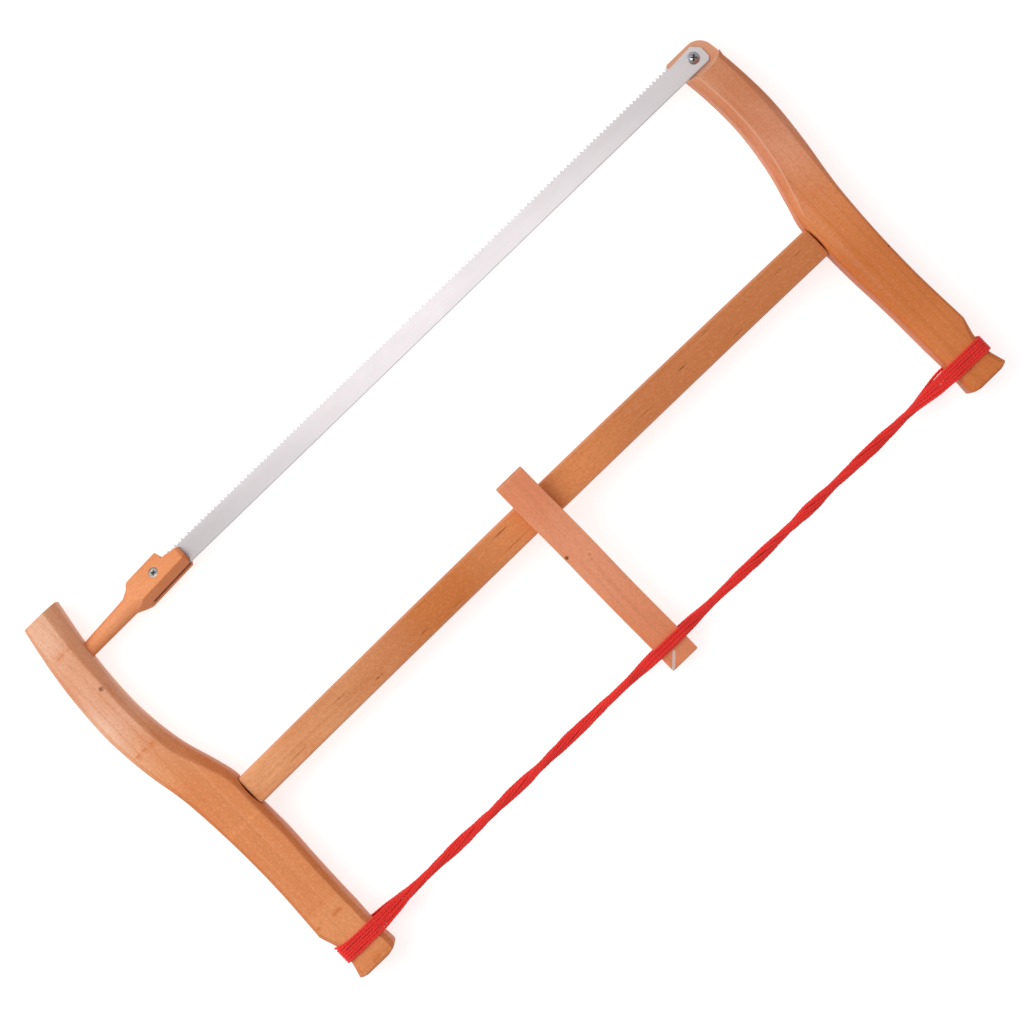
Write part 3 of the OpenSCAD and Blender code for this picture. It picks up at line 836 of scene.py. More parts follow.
def cheek_ring(row, side):
    """Ring of points around a cheek, how much rubbed wear and painted highlight each one carries, and
    how much painted shade it takes where it slants.
    """
    v, inner, outer, in_w, in_d, out_w, out_d, lift, inset = row
    inner += corner_inset(v, FOOT_CORNERS[side][0]) * 0.8 - toe_in(side, v)
    outer -= corner_inset(v, FOOT_CORNERS[side][1]) * 0.8 - toe_out(side, v)
    u0, u1 = inner + inset, outer - inset
    z0, z1 = lift + inset, CHEEK_T - inset
    ring = []
    worn_and_lit = []
    slant = []
    corners = [(u1, z0, out_w, out_d, -1, 1), (u1, z1, out_w, out_d, -1, -1),
               (u0, z1, in_w, in_d, 1, -1), (u0, z0, in_w, in_d, 1, 1)]
    lengthwise_ramp = 0.25 + 0.75 * float(smooth_step((v - 4) / 14)) if side > 0 else 1.0
    for index, (u, z, w, d, su, sz) in enumerate(corners):
        angles = list(zip(np.linspace(0, math.pi / 2, len(ARRIS_WEAR_AND_SHEEN)), ARRIS_WEAR_AND_SHEEN))
        if index % 2:
            angles = angles[::-1]
        for a, wear_and_sheen in angles:
            across = math.cos(a) ** (2 / CORNER_SHAPE)
            down = math.sin(a) ** (2 / CORNER_SHAPE)
            ring.append((u + su * w * (1 - down), z + sz * d * (1 - across)))
            front = 1.0 if z == z1 else 0.3
            worn_and_lit.append(wear_and_sheen * front * (lengthwise_ramp if u == u0 else 0.3))
            slant.append(SLANT_SHADE[side][0 if u == u0 else 1] if a > 0.01 else 0.0)
    mid, half = (inner + outer) / 2, (outer - inner) / 2
    crown = FOOT_CROWN * float(smooth_step((8 - v - FOOT_END) / 8))
    base = AXIS_Y + v - foot_shift(side, v)
    points = []
    for u, z in ring:
        y = base + crown * ((u - mid) / half) ** 2
        points.append((side * (SHOULDER + u), y, z))
    return points, worn_and_lit, slant


# Half the stretcher's width at its ends, and the radius of its nearly flat shoulders
BAR_HALF = 6.9
SHOULDER_R = 30.0


def shoulder_x(y):
    """Where the stretcher's slightly rounded shoulder lies, by height above its axis."""
    return SHOULDER + 0.15 - y * y / (2 * SHOULDER_R)


def seat_cutters(side):
    """Hollow for the round end of the stretcher, and the mortise for its tenon."""
    half, y0 = BAR_HALF + 0.4, AXIS_Y - END_DROP
    arc = [(side * (shoulder_x(y) + 0.15), y0 + y) for y in np.linspace(-half, half, 25)]
    outline = [(side * (PIVOT + 4), y0 - half), *arc, (side * (PIVOT + 4), y0 + half)]
    hollow = prism(outline, -3.0, CHEEK_T + 3.0)
    slot = [(side * x, y0 + y) for x, y in
            ((PIVOT + 8, -4.8), (PIVOT + 19.6, -4.8), (PIVOT + 19.6, 4.8), (PIVOT + 8, 4.8))]
    return hollow, prism(slot, MID_Z - 2.8, MID_Z + 2.8)


def tube(start, end, radius, around=48):
    """Straight round bar between two points, as points and faces."""
    start, end = Vector(start), Vector(end)
    turn = (end - start).to_track_quat("Z", "Y").to_matrix()
    rings = []
    for base in (start, end):
        rings.append([tuple(base + turn @ Vector((radius * math.cos(a), radius * math.sin(a), 0)))
                      for a in np.linspace(0, 2 * math.pi, around, endpoint=False)])
    return loft(rings)


def build_cheek(name, rows, side, top=None):
    run = cheek_rows(rows, top)
    rings, worn_and_lit, slant = zip(*(cheek_ring(row, side) for row in run))
    points, faces = loft(rings)
    stored = {"worn_and_lit": [w for ring in worn_and_lit for w in ring] + [0.0, 0.0],
              "slant": [t for ring in slant for t in ring] + [0.0, 0.0]}
    points[-1][1] = AXIS_Y - FOOT_END - foot_shift(side, -FOOT_END)
    piece = new_piece(name, points, faces, stored)
    for cutter in seat_cutters(side):
        carve(piece, *cutter)
    return piece


# The lap for the blade: its middle from the shoulder, its half width, its start below the
# blade's middle, the lift of its two corners, and the least and the added run of its slope
LAP_MIDDLE = 15.6
LAP_HALF = 9.5
LAP_FOOT = 5.3
LAP_LIFT = 0.9
LAP_SLOPE = (0.5, 2.1)


def lap_cutter():
    """Wood taken off the front of the right cheek for the blade, ending in a hollow
    slope whose lower edge is an arc."""
    lap_z = MID_Z - 0.35
    foot = BLADE_Y - LAP_FOOT
    left, right = SHOULDER - 2.0, SHOULDER + BELLY + 4.0
    middle, half = SHOULDER + LAP_MIDDLE, LAP_HALF
    rings = []
    for x in np.linspace(left, right, 40):
        bow = max(0.0, 1 - ((x - middle) / half) ** 2)
        slope = LAP_SLOPE[0] + LAP_SLOPE[1] * bow
        lift = LAP_LIFT * (1 - min(1.0, bow + 0.15))
        ring = [(x, foot + lift, lap_z)]
        for t in np.linspace(0.15, 1, 7):
            y = foot + lift - slope * (1 - (1 - t) ** 1.7)
            ring.append((x, y, lap_z + (CHEEK_T - lap_z) * t))
        ring += [(x, foot + lift - slope, CHEEK_T + 4), (x, BLADE_Y + 12, CHEEK_T + 4),
                 (x, BLADE_Y + 12, lap_z)]
        rings.append(ring)
    return loft(rings)


def lap_mask(finish, at):
    """1 on the freshly cut lap and its slope."""
    away = (finish.along(at, "X") - (SHOULDER + LAP_MIDDLE)) / LAP_HALF
    bow = (1.0 - away * away).greater(0.0)
    lift = LAP_LIFT * (1.0 - (bow + 0.15).lesser(1.0))
    edge = BLADE_Y - LAP_FOOT + lift - LAP_SLOPE[0] - LAP_SLOPE[1] * bow
    above = (finish.along(at, "Y") - edge).between(-0.25, 0.1)
    return above * finish.along(at, "Z").between(MID_Z - 1.0, MID_Z - 0.6)


class BOWSAW_OT_cheeks(bpy.types.Operator):
    """Builds both beech cheeks with their seats, bores and the lap for the blade"""

    bl_idname = "bow_saw.cheeks"
    bl_label = "Cheeks"

    def execute(self, context):
        wood = context.scene.bow_saw_wood
        left = build_cheek("cheek_left", LEFT_ROWS, -1)
        along = (math.cos(HOLDER_LEAN), math.sin(HOLDER_LEAN))
        start, end = [(HOLDER_SCREW_X - far * along[0], BLADE_Y - far * along[1], MID_Z)
                      for far in (38, 52)]
        carve(left, *tube(start, end, 3.36))
        marks = [(AXIS_Y + 90.5, 0.8, 0.8), (AXIS_Y + 40.5, 0.85, 0.76), (AXIS_Y - 8.5, 1.0, 1.2),
                 (AXIS_Y - 52.5, 0.8, 0.8), (AXIS_Y - 59.5, 1.0, 0.74), (AXIS_Y - 84.0, 1.0, 0.7)]
        specks = [((-172.3, 59.4, CHEEK_T), 1.2, 0.5), ((-172.5, 59.6, CHEEK_T), 0.7, 0.6)]
        finish = beech("beech_left", "Y", wood.left_colour, wood.left_pale, (75.0, 5.0),
                       marks, specks, streaks=0.3, flecks=0.22, seed=11.0, wear_and_sheen=0.22, arris=0.75,
                       tints=[(34.0, 36.0, (1.1, 1.34, 1.6)), (-76.0, 20.0, (1.07, 1.18, 1.3))])
        polish(left)
        dress(left, finish, "left_cheek", ["left_cheek"])

        right = build_cheek("cheek_right", RIGHT_ROWS, 1, top=RISE + 5.6)
        carve(right, *lap_cutter())
        carve(right, *tube((SCREW_X, BLADE_Y, 0.6), (SCREW_X, BLADE_Y, 12), 1.46))
        marks = [(AXIS_Y + 14.0, 0.25, 0.9), (AXIS_Y - 70.0, 0.2, 0.9)]
        specks = [((177.6, -32.5, CHEEK_T - 0.3), 0.6, 0.9)]
        finish = beech("beech_right", "Y", wood.right_colour, wood.right_pale, (58.0, -12.0),
                       marks, specks, streaks=0.34, flecks=0.3, seed=37.0, wear_and_sheen=0.9, arris=0.5,
                       tints=[(10.0, 46.0, (1.16, 1.34, 1.7)), (-74.0, 20.0, (1.07, 1.12, 1.2))],
                       cut_wood_and_shade=(lap_mask, RAW_WOOD))
        polish(right)
        dress(right, finish, "right_cheek", ["right_cheek"])
        return {"FINISHED"}


# ---------------------------------------------------------------- stretcher
def bar_section(half_w, half_t, ease, points=7):
    """Section of a bar with round arrises, with the rubbed wear and painted highlight of each of its
    points.
    """
    section = []
    for cw, ct, start in ((1, -1, -90), (1, 1, 0), (-1, 1, 90), (-1, -1, 180)):
        for k, a in enumerate(np.radians(np.linspace(start, start + 90, points))):
            across = cw * (half_w - ease) + ease * math.cos(a)
            up = ct * (half_t - ease) + ease * math.sin(a)
            peak = math.sin(math.pi * k / (points - 1))
            section.append((across, up, peak if ct > 0 else 0.3 * peak))
    return section


class BOWSAW_OT_stretcher(bpy.types.Operator):
    """Builds the stretcher with its round ends, tenons and slight bow"""

    bl_idname = "bow_saw.stretcher"
    bl_label = "Stretcher"

    camber: length_prop("Bow", "Bow of the stretcher towards the blade", 0.95)

    def execute(self, context):
        wood = context.scene.bow_saw_wood
        half_t = 6.0
        end, tip = shoulder_x(0), PIVOT + END_R + TENON_LEN
        stations = []
        for x in np.linspace(0, 0.994 * end, 70):
            reach = (x / end) ** 2
            stations.append((x, BAR_HALF + 0.2 * (1 - reach), half_t, 1.3))
        stations += [(end - 0.35, BAR_HALF, half_t, 1.3),
                     (end - 0.1, BAR_HALF - 0.12, half_t - 0.12, 1.3),
                     (end, BAR_HALF - 0.4, half_t - 0.4, 1.2), (end + 0.01, 4.0, 2.5, 0.3),
                     (tip - 0.4, 4.0, 2.5, 0.3), (tip, 3.6, 2.1, 0.3)]
        whole = [(-x, *rest) for x, *rest in stations[:0:-1]] + stations
        rings = []
        worn_and_lit = []
        for x, half_w, up, ease in whole:
            ring = []
            for y, z, wear_and_sheen in bar_section(half_w, up, ease):
                back = (shoulder_x(0) - shoulder_x(y)) * float(smooth_step((abs(x) - end + 12) / 12))
                back = back if abs(x) <= end else 0.0
                bow = self.camber / MM * (1 - min(1.0, abs(x) / end) ** 2)
                place = AXIS_Y - END_DROP + y + bow
                ring.append((x - math.copysign(back, x), place, MID_Z + z))
                worn_and_lit.append(wear_and_sheen)
            rings.append(ring)
        points, faces = loft(rings)
        piece = new_piece("stretcher_bar", points, faces, {"worn_and_lit": worn_and_lit + [0.0, 0.0]})
        polish(piece, 40.0)
        dashes = [(-107, -9.4, 6, 1.0), (-89, -14.4, 4, 1.0), (-63.5, -14, 4, 0.8),
                  (-134, -14, 9, 0.5), (-14, -6.6, 7, 0.9), (-12, -13.8, 12, 0.6),
                  (84.3, -9.9, 4, 0.95), (110.5, -15.5, 5, 0.6), (139.3, -8.9, 4, 0.6),
                  (120.7, -8.3, 1.2, 0.7), (149.3, -9.2, 3, 0.5), (30.7, -4.6, 9, 0.4),
                  (100.4, -6, 5, 0.45), (-46, -15.2, 8, 0.4), (60, -12.5, 9, 0.3)]
        top = MID_Z + half_t
        finish = beech("beech_stretcher", "X", wood.stretcher_colour, wood.stretcher_pale,
                       (-150.0, -45.0), dashes=[((x, y, top), n, s) for x, y, n, s in dashes],
                       streaks=0.26, flecks=0.4, seed=71.0, wear_and_sheen=0.35,
                       tints=[(-145.0, 40.0, (1.08, 1.05, 1.02)), (-50.0, 26.0, (1.0, 0.9, 0.66)),
                              (10.0, 54.0, (1.22, 1.29, 1.28))])
        dress(piece, finish, "stretcher", ["stretcher"])
        return {"FINISHED"}


# ---------------------------------------------------------------- blade
class BOWSAW_OT_blade(bpy.types.Operator):
    """Builds the thin blade with its set teeth and clipped end"""

    bl_idname = "bow_saw.blade"
    bl_label = "Blade"

    def execute(self, context):
        steel = context.scene.bow_saw_steel
        thick, half = 0.6, 5.0
        pitch = steel.tooth_pitch / MM
        gullet = half - steel.tooth_depth / MM
        first_limit, last = 5.0, 290.0
        count = int((last - first_limit) / pitch)
        first = last - count * pitch
        low_edge = [(-7.0, -half), (303.8, -half), (305.2, -half + 1.5), (305.2, 1.0),
                    (302.2, gullet + 0.6), (last, gullet)]
        gullets = [(first + i * pitch, gullet) for i in range(count)][::-1]
        body = low_edge + gullets + [(-7.0, gullet)]
        tips = [(first + (i + 0.35) * pitch, half) for i in range(count)][::-1]
        points = []
        ground = []
        for z in (thick / 2, -thick / 2):
            points += [(x, y, z) for x, y in body]
            ground += [0.0] * len(body)
            for i, (x, y) in enumerate(tips):
                aside = steel.tooth_set / MM * (1 if i % 2 else -1)
                points.append((x, y, z * 0.75 + aside))
                ground.append(1.0)
        size = len(body) + len(tips)
        faces = [tuple(range(len(body))), tuple(range(size, size + len(body)))]
        edge_from = len(low_edge) - 1
        for i in range(count):
            a, b, tip = edge_from + i, edge_from + i + 1, len(body) + i
            faces += [(a, b, tip), (a + size, b + size, tip + size),
                      (a, tip, tip + size, a + size), (tip, b, b + size, tip + size)]
        closed = [(i, i + 1) for i in range(edge_from)]
        closed += [(edge_from + count, len(body) - 1), (len(body) - 1, 0)]
        faces += [(a, b, b + size, a + size) for a, b in closed]
        points = np.array(points) + (HOLDER_SCREW_X, BLADE_Y, MID_Z)
        piece = new_piece("saw_blade", points, faces, {"ground": ground})
        for x, radius in ((HOLDER_SCREW_X, 1.87), (SCREW_X, 1.48)):
            carve(piece, *tube((x, BLADE_Y, MID_Z - 3), (x, BLADE_Y, MID_Z + 3), radius))
        polish(piece, 20.0)
        dress(piece, ground_steel(), "blade", ["blade"])
        return {"FINISHED"}


# ---------------------------------------------------------------- holder and screws
def kerf_shadow_mask(finish, at):
    """1 in the kerf of the holder and on its upper lip, where the painted shadow goes."""
    lip = abs(finish.along(at, "Z") - (MID_Z + 0.15)).between(0.95, 0.5)
    low = finish.along(at, "Y").between(BLADE_Y - 3.5, BLADE_Y - 4.2)
    return lip * low * finish.along(at, "X").between(HOLDER_SCREW_X - 9.0, HOLDER_SCREW_X - 8.2)


class BOWSAW_OT_holder(bpy.types.Operator):
    """Builds the turned and squared blade holder with eased arrises"""

    bl_idname = "bow_saw.holder"
    bl_label = "Blade holder"

    def execute(self, context):
        wood = context.scene.bow_saw_wood
        piece = frame_copy("blade_holder", "blade_holder_block")
        place = Matrix.Translation((HOLDER_SCREW_X, BLADE_Y, MID_Z))
        place = place @ Matrix.Rotation(HOLDER_LEAN, 4, "Z")
        place = place @ Matrix.Rotation(-HOLDER_ROLL, 4, "X")
        for sign, axis in ((1, 1), (-1, 1), (1, 2), (-1, 2)):
            corner = [(12.6, 5.25), (14.1, 3.7), (15.5, 3.7), (15.5, 6.5), (12.6, 6.5)]
            points, faces = prism([(x, sign * y) for x, y in corner], -7.0, 7.0, axis)
            carve(piece, [tuple(place @ Vector(point)) for point in points], faces)
        for vertex in piece.data.vertices:
            above = vertex.co.y / MM - BLADE_Y - 4.9
            if above > 0 and vertex.co.x / MM > HOLDER_SCREW_X - 12.5:
                vertex.co.y += 0.8 * MM * min(1.0, above / 1.2)
        ease_edges(piece, 0.35, 32.0, 3)
        polish(piece, 50.0)
        # The kerf and its upper lip get a painted shadow in dark fleck colour.
        finish = beech("beech_holder", "X", wood.holder_colour, wood.holder_pale, (-170.0, -100.0),
                       streaks=0.4, flecks=0.3, seed=5.0,
                       cut_wood_and_shade=(kerf_shadow_mask, scaled(wood.fleck_colour, 0.35)))
        dress(piece, finish, "left_cheek", ["blade_holder"])
        return {"FINISHED"}


def mark_recess(piece, centre, axis, reach, depth):
    """Marks the points that lie in a screw's cross recess, by their depth and reach, for the painted
    shade there.
    """
    axis = Vector(axis).normalized()
    values = []
    for vertex in piece.data.vertices:
        away = vertex.co - Vector(centre) * MM
        down = -away.dot(axis) / MM
        aside = (away - axis * away.dot(axis)).length / MM
        values.append(1.0 if aside < reach and depth[0] < down < depth[1] else 0.0)
    layer = piece.data.attributes.new("recess", "FLOAT", "POINT")
    layer.data.foreach_set("value", values)


class BOWSAW_OT_screws(bpy.types.Operator):
    """Builds the blade's domed screw and the holder's countersunk screw"""

    bl_idname = "bow_saw.screws"
    bl_label = "Screws"

    def execute(self, context):
        steel = context.scene.bow_saw_steel
        top = node_box("blade_screw")[1][2]
        domed = frame_copy("blade_screw", "screw_blade")
        ease_edges(domed, 0.1, 40.0)
        mark_recess(domed, (SCREW_X, BLADE_Y, top), (0, 0, 1), 1.5, (0.55, 1.6))
        polish(domed, 35.0)
        finish = plated_steel("screw_chrome", steel.chrome_colour, 0.24, 0.25)
        dress(domed, finish, "right_cheek", ["blade_screw"])

        sunk = frame_copy("holder_screw", "screw_holder")
        ease_edges(sunk, 0.08, 40.0)
        axis = Vector((0, math.sin(HOLDER_ROLL), math.cos(HOLDER_ROLL)))
        head = Vector((HOLDER_SCREW_X, BLADE_Y, MID_Z)) + axis * 5.1
        mark_recess(sunk, head, axis, 1.3, (0.3, 1.2))
        polish(sunk, 35.0)
        finish = plated_steel("screw_steel", steel.screw_colour, 0.34, 0.5)
        dress(sunk, finish, "left_cheek", ["holder_screw"])
        return {"FINISHED"}


# ---------------------------------------------------------------- toggle
def in_toggle(points):
    """Points of the toggle's own frame, with the cord along X and its length along Y."""
    points = np.asarray(points, float)
    c, s = math.cos(TOGGLE_TILT), math.sin(TOGGLE_TILT)
    x, y, z = points[:, 0], points[:, 1], points[:, 2]
    return np.column_stack([TOGGLE_X + x, CORD_Y + c * y - s * z, MID_Z + s * y + c * z])


class BOWSAW_OT_toggle(bpy.types.Operator):
    """Builds the flat toggle with eased arrises and a split corner"""

    bl_idname = "bow_saw.toggle"
    bl_label = "Toggle"

    def execute(self, context):
        wood = context.scene.bow_saw_wood
        foot, head = -10.6, 92.0
        half_w, half_t, ease = 6.85, 3.0, 0.4
        levels = [0.0, 0.12, 0.3, 0.6] + list(np.linspace(1.5, head - foot - 1.5, 50))
        levels += [head - foot - 0.6, head - foot - 0.3, head - foot - 0.12, head - foot]
        rings = []
        worn_and_lit = []
        for level in levels:
            near = min(level, head - foot - level)
            inset = 0.35 * (1 - math.sqrt(1 - max(0.0, 1 - near / 0.6) ** 2))
            sway = 0.1 * math.sin(level * 0.11 + 0.6) - 0.45 * level / head
            ring = []
            for x, z, wear_and_sheen in bar_section(half_w - inset, half_t - inset, ease, 5):
                ring.append((x + sway, foot + level, z))
                worn_and_lit.append(max(wear_and_sheen, 0.8 if near < 0.2 else 0.0))
            rings.append(ring)
        points, faces = loft(rings)
        piece = new_piece("toggle_bar", in_toggle(points), faces, {"worn_and_lit": worn_and_lit + [0.0, 0.0]})
        start, end = np.array([-7.3, -11.0]), np.array([-0.9, -4.6])
        side = np.array([end[1] - start[1], start[0] - end[0]])
        side = side / np.linalg.norm(side) * 0.4
        outline = [start + side, end + 0.6 * side, end - 0.6 * side, start - side]
        groove = [(p[0], p[1], half_t + 1.0) for p in outline]
        bottom = [(start[0], start[1], half_t - 0.4), (end[0], end[1], half_t - 0.12)]
        sides = [(0, 1, 2, 3), (0, 1, 5, 4), (3, 2, 5, 4), (0, 3, 4), (1, 2, 5)]
        carve(piece, in_toggle(np.array(groove + bottom)), sides)
        polish(piece, 40.0)
        crack = [tuple(p[:2]) for p in in_toggle([(*start, half_t), (*end, half_t)])]
        dots = in_toggle([(-5.9, 52.9, half_t), (1.6, 47.5, half_t), (1.1, 45.6, half_t)])
        specks = [(tuple(p), r, s) for p, r, s in zip(dots, (0.8, 0.7, 0.6), (0.95, 0.25, 0.2))]
        finish = beech("beech_toggle", "Y", wood.toggle_colour, wood.toggle_pale, (-40.0, -86.0),
                       (), specks, streaks=0.34, flecks=0.3, seed=91.0, wear_and_sheen=0.3,
                       split=(*crack, 1.15))
        dress(piece, finish, "toggle", ["toggle"])
        return {"FINISHED"}


# ---------------------------------------------------------------- cord
TURNS = 6
# Cross section of the twisted cord: six strands of the front layer, then the back
FRONT_NEST = [(-1.8, 0.34), (-1.08, 1.0), (-0.44, 0.3), (0.02, 1.2), (1.08, 0.98), (1.8, 0.34)]
BACK_NEST = [(-1.8, -0.44), (-1.08, -1.04), (0.02, -1.22), (0.44, -0.3), (1.08, -1.0), (1.8, -0.44)]
# How far from the neck the strands start to spread, how far the neck's corners are
# rounded, and the half turn that the cord still makes inside the eye
GATHER = 27.0
NECK_EASE = 2.4
EYE_TURN = 0.44
# Gap between the cord and the wood in front, and at the outer side of each neck
FRONT_GAP = 0.12
NECK_GAP = {-1: 0.22, 1: 0.42}
# Distance from the middle of the saw where the cord has made 0, 1/2, 3/2, 5/2, 7/2 half
# turns on its way from the neck to the toggle, for the left and for the right
WINDING = {-1: (161.0, 129.0, 95.0, 66.7, 27.0), 1: (161.0, 136.0, 96.0, 70.0, 30.0)}


def cord_line(x):
    """How far the cord lies below its nominal line."""
    return 1.45 + 0.0053 * x


def half_turns_at(side, x):
    """Half turns of the cord between the neck and a place, smoothed along its length."""
    made = bpy.context.scene.bow_saw_cord.half_turns
    knots = [*WINDING[side], EYE_HALF + side * TOGGLE_X]
    turns = [0.0, *(made - 3.5 + k for k in range(0, 4))]
    turns = [0.0, *[t * (made - EYE_TURN) / (made - 0.5) for t in turns[1:]], made - EYE_TURN]
    spots = np.linspace(x - 7, x + 7, 15)
    return float(np.mean(np.interp(-np.clip(spots, knots[-1], 200), -np.array(knots), turns)))


def turned(yz, angle):
    c, s = math.cos(angle), math.sin(angle)
    return np.array([c * yz[0] - s * yz[1], s * yz[0] + c * yz[1]])


def even_path(points, step):
    """The same path with its points a step apart."""
    points = np.asarray(points, float)
    lengths = np.linalg.norm(np.diff(points, axis=0), axis=1)
    run = np.concatenate([[0.0], np.cumsum(lengths)])
    count = max(3, int(round(run[-1] / step)) + 1)
    marks = np.linspace(0, run[-1], count)
    return np.column_stack([np.interp(marks, run, points[:, c]) for c in range(points.shape[1])])


def softened(path, passes):
    """The same path with its kinks smoothed and its ends kept."""
    path = path.copy()
    for _ in range(passes):
        path[1:-1] = 0.25 * path[:-2] + 0.5 * path[1:-1] + 0.25 * path[2:]
    return path


def strand_mesh(path, number, around=12):
    """Points, faces and stored values of one three-ply strand. The path holds points
    and the strand's radius."""
    pitch = bpy.context.scene.bow_saw_cord.lay_pitch / MM
    centre, radius = path[:, :3], path[:, 3]
    ahead = np.gradient(centre, axis=0)
    ahead /= np.linalg.norm(ahead, axis=1)[:, None]
    run = np.concatenate([[0.0], np.cumsum(np.linalg.norm(np.diff(centre, axis=0), axis=1))])
    side = np.cross(ahead[0], (0.31, 0.22, 0.93))
    side /= np.linalg.norm(side)
    angles = np.linspace(0, 2 * math.pi, around, endpoint=False)
    lobes = 1 + 0.09 * np.cos(3 * angles)
    rings = []
    for i in range(len(centre)):
        side = side - ahead[i] * side.dot(ahead[i])
        side /= np.linalg.norm(side)
        up = np.cross(ahead[i], side)
        turn = angles - 2 * math.pi * run[i] / pitch + number * 1.3
        spokes = np.cos(turn)[:, None] * side + np.sin(turn)[:, None] * up
        rings.append(centre[i] + spokes * (radius[i] * lobes)[:, None])
    points, faces = loft(rings)
    tile = len(centre)
    stored = {
        "run": np.concatenate([np.repeat(run, around), [0.0, run[-1]]]),
        "turn": np.concatenate([np.tile(np.abs(angles - math.pi), tile), [0.0, 0.0]]),
        "groove": np.concatenate([np.tile(0.5 - 0.5 * np.cos(3 * angles), tile), [0.5, 0.5]]),
        "number": np.full(len(points), float(number)),
    }
    return points, faces, stored


def join_strands(name, strands):
    """One piece from many strands."""
    points, faces, stored = [], [], {}
    offset = 0
    for more_points, more_faces, more_stored in strands:
        points.append(more_points)
        faces += [tuple(i + offset for i in face) for face in more_faces]
        for key, values in more_stored.items():
            stored.setdefault(key, []).append(values)
        offset += len(more_points)
    piece = new_piece(name, np.vstack(points), faces,
                      {key: np.concatenate(values) for key, values in stored.items()})
    return polish(piece, 80.0)


def wobble(x, number):
    """Slight unevenness of a hand-wound strand."""
    return np.array([
        0.1 * math.sin(x * 0.21 + number * 2.1) + 0.06 * math.sin(x * 0.57 + number * 4.7),
        0.08 * math.sin(x * 0.27 + number * 3.3),
    ])


def turn_path(side, i):
    """One turn of the cord around a neck: from the toggle along the front, round the
    neck and back along the other side, as points with the strand's radius."""
    cord = bpy.context.scene.bow_saw_cord
    twine = cord.twine_d / MM
    slack, taut = twine / 2, cord.taut_d / MM / 2
    neck_x = SHOULDER + 1.4
    gathered_x = neck_x - GATHER
    eye_x = EYE_HALF + side * TOGGLE_X
    front_z, back_z = CHEEK_T + FRONT_GAP + slack, NECK_LIFT - 0.25 - slack
    front_y = (i - (TURNS - 1) / 2) * (BAND - twine) / (TURNS - 1)
    back_y = front_y + (0.1 if side < 0 else 0.3)

    def leg(nest, y, z):
        made = []
        for x in np.linspace(eye_x, neck_x, 260):
            near = min(1.0, max(0.0, (x - gathered_x) / (neck_x - gathered_x)))
            gather = 0.6 * near + 0.4 * float(smooth_step(near))
            tilt = TOGGLE_TILT * (1 - smooth_step((x - eye_x) / 40.0))
            nested = turned(nest, -math.pi * half_turns_at(side, x) + tilt)
            loose = wobble(x * side, i + (0.5 if z < MID_Z else 0.0)) * min(1.0, (x - eye_x) / 6)
            place = nested * (1 - gather) + np.array([y, z - MID_Z]) * gather + loose
            place[0] -= cord_line(side * x)
            radius = taut + (slack - taut) * gather
            made.append((side * x, CORD_Y + place[0], MID_Z + place[1], radius))
        return made

    front = leg(FRONT_NEST[i], front_y, front_z)
    back = leg(BACK_NEST[i], back_y, back_z)
    out_x = SHOULDER + NECK_OUT + NECK_SHIFT[side][0] + NECK_GAP[side] + slack
    bend = NECK_EASE + 0.2 + slack
    round_neck = []
    for x in np.linspace(neck_x, out_x - bend, 24)[1:]:
        round_neck.append((x, front_z))
    for a in np.radians(np.linspace(90, 0, 14)):
        round_neck.append((out_x - bend + bend * math.cos(a), front_z - bend + bend * math.sin(a)))
    for z in np.linspace(front_z - bend, back_z + bend, 14)[1:]:
        round_neck.append((out_x, z))
    for a in np.radians(np.linspace(0, -90, 14)):
        round_neck.append((out_x - bend + bend * math.cos(a), back_z + bend + bend * math.sin(a)))
    for x in np.linspace(out_x - bend, neck_x, 24)[1:-1]:
        round_neck.append((x, back_z))
    neck = []
    for k, (x, z) in enumerate(round_neck):
        share = smooth_step((front_z - z) / (front_z - back_z))
        y = front_y + (back_y - front_y) * share
        loose = wobble(x * side + 20 * z, i)[0] * 0.7
        neck.append((side * x, CORD_Y + y + loose - cord_line(side * x), z, slack))
    path = np.array(front + neck + back[::-1])
    return softened(even_path(path, 0.58), 6)


def eye_path(i, front):
    """A strand that passes the toggle in front or behind."""
    taut = bpy.context.scene.bow_saw_cord.taut_d / MM / 2
    sign = 1 if front else -1
    nest = FRONT_NEST[i] if front else BACK_NEST[i]
    y = (i - (TURNS - 1) / 2) * 0.76 + sign * 0.5
    z = sign * (3.0 + FRONT_GAP + taut + (0.45 if i % 2 else 0.0))
    made = []
    for x in np.linspace(-EYE_HALF, EYE_HALF, 130):
        apart = abs(x)
        turn = EYE_TURN * math.pi * float(smooth_step((apart - 8) / (EYE_HALF + 6 - 8))) * 1.12
        nested = turned(nest, min(turn, EYE_TURN * math.pi))
        share = float(smooth_step((apart - 6.9) / 11.0))
        place = nested * share + np.array([y, z]) * (1 - share)
        made.append((x, place[0], place[1]))
    path = softened(even_path(np.array(made), 0.58), 4)
    placed = in_toggle(path)
    placed[:, 1] -= cord_line(placed[:, 0])
    return np.column_stack([placed, np.full(len(placed), taut)])


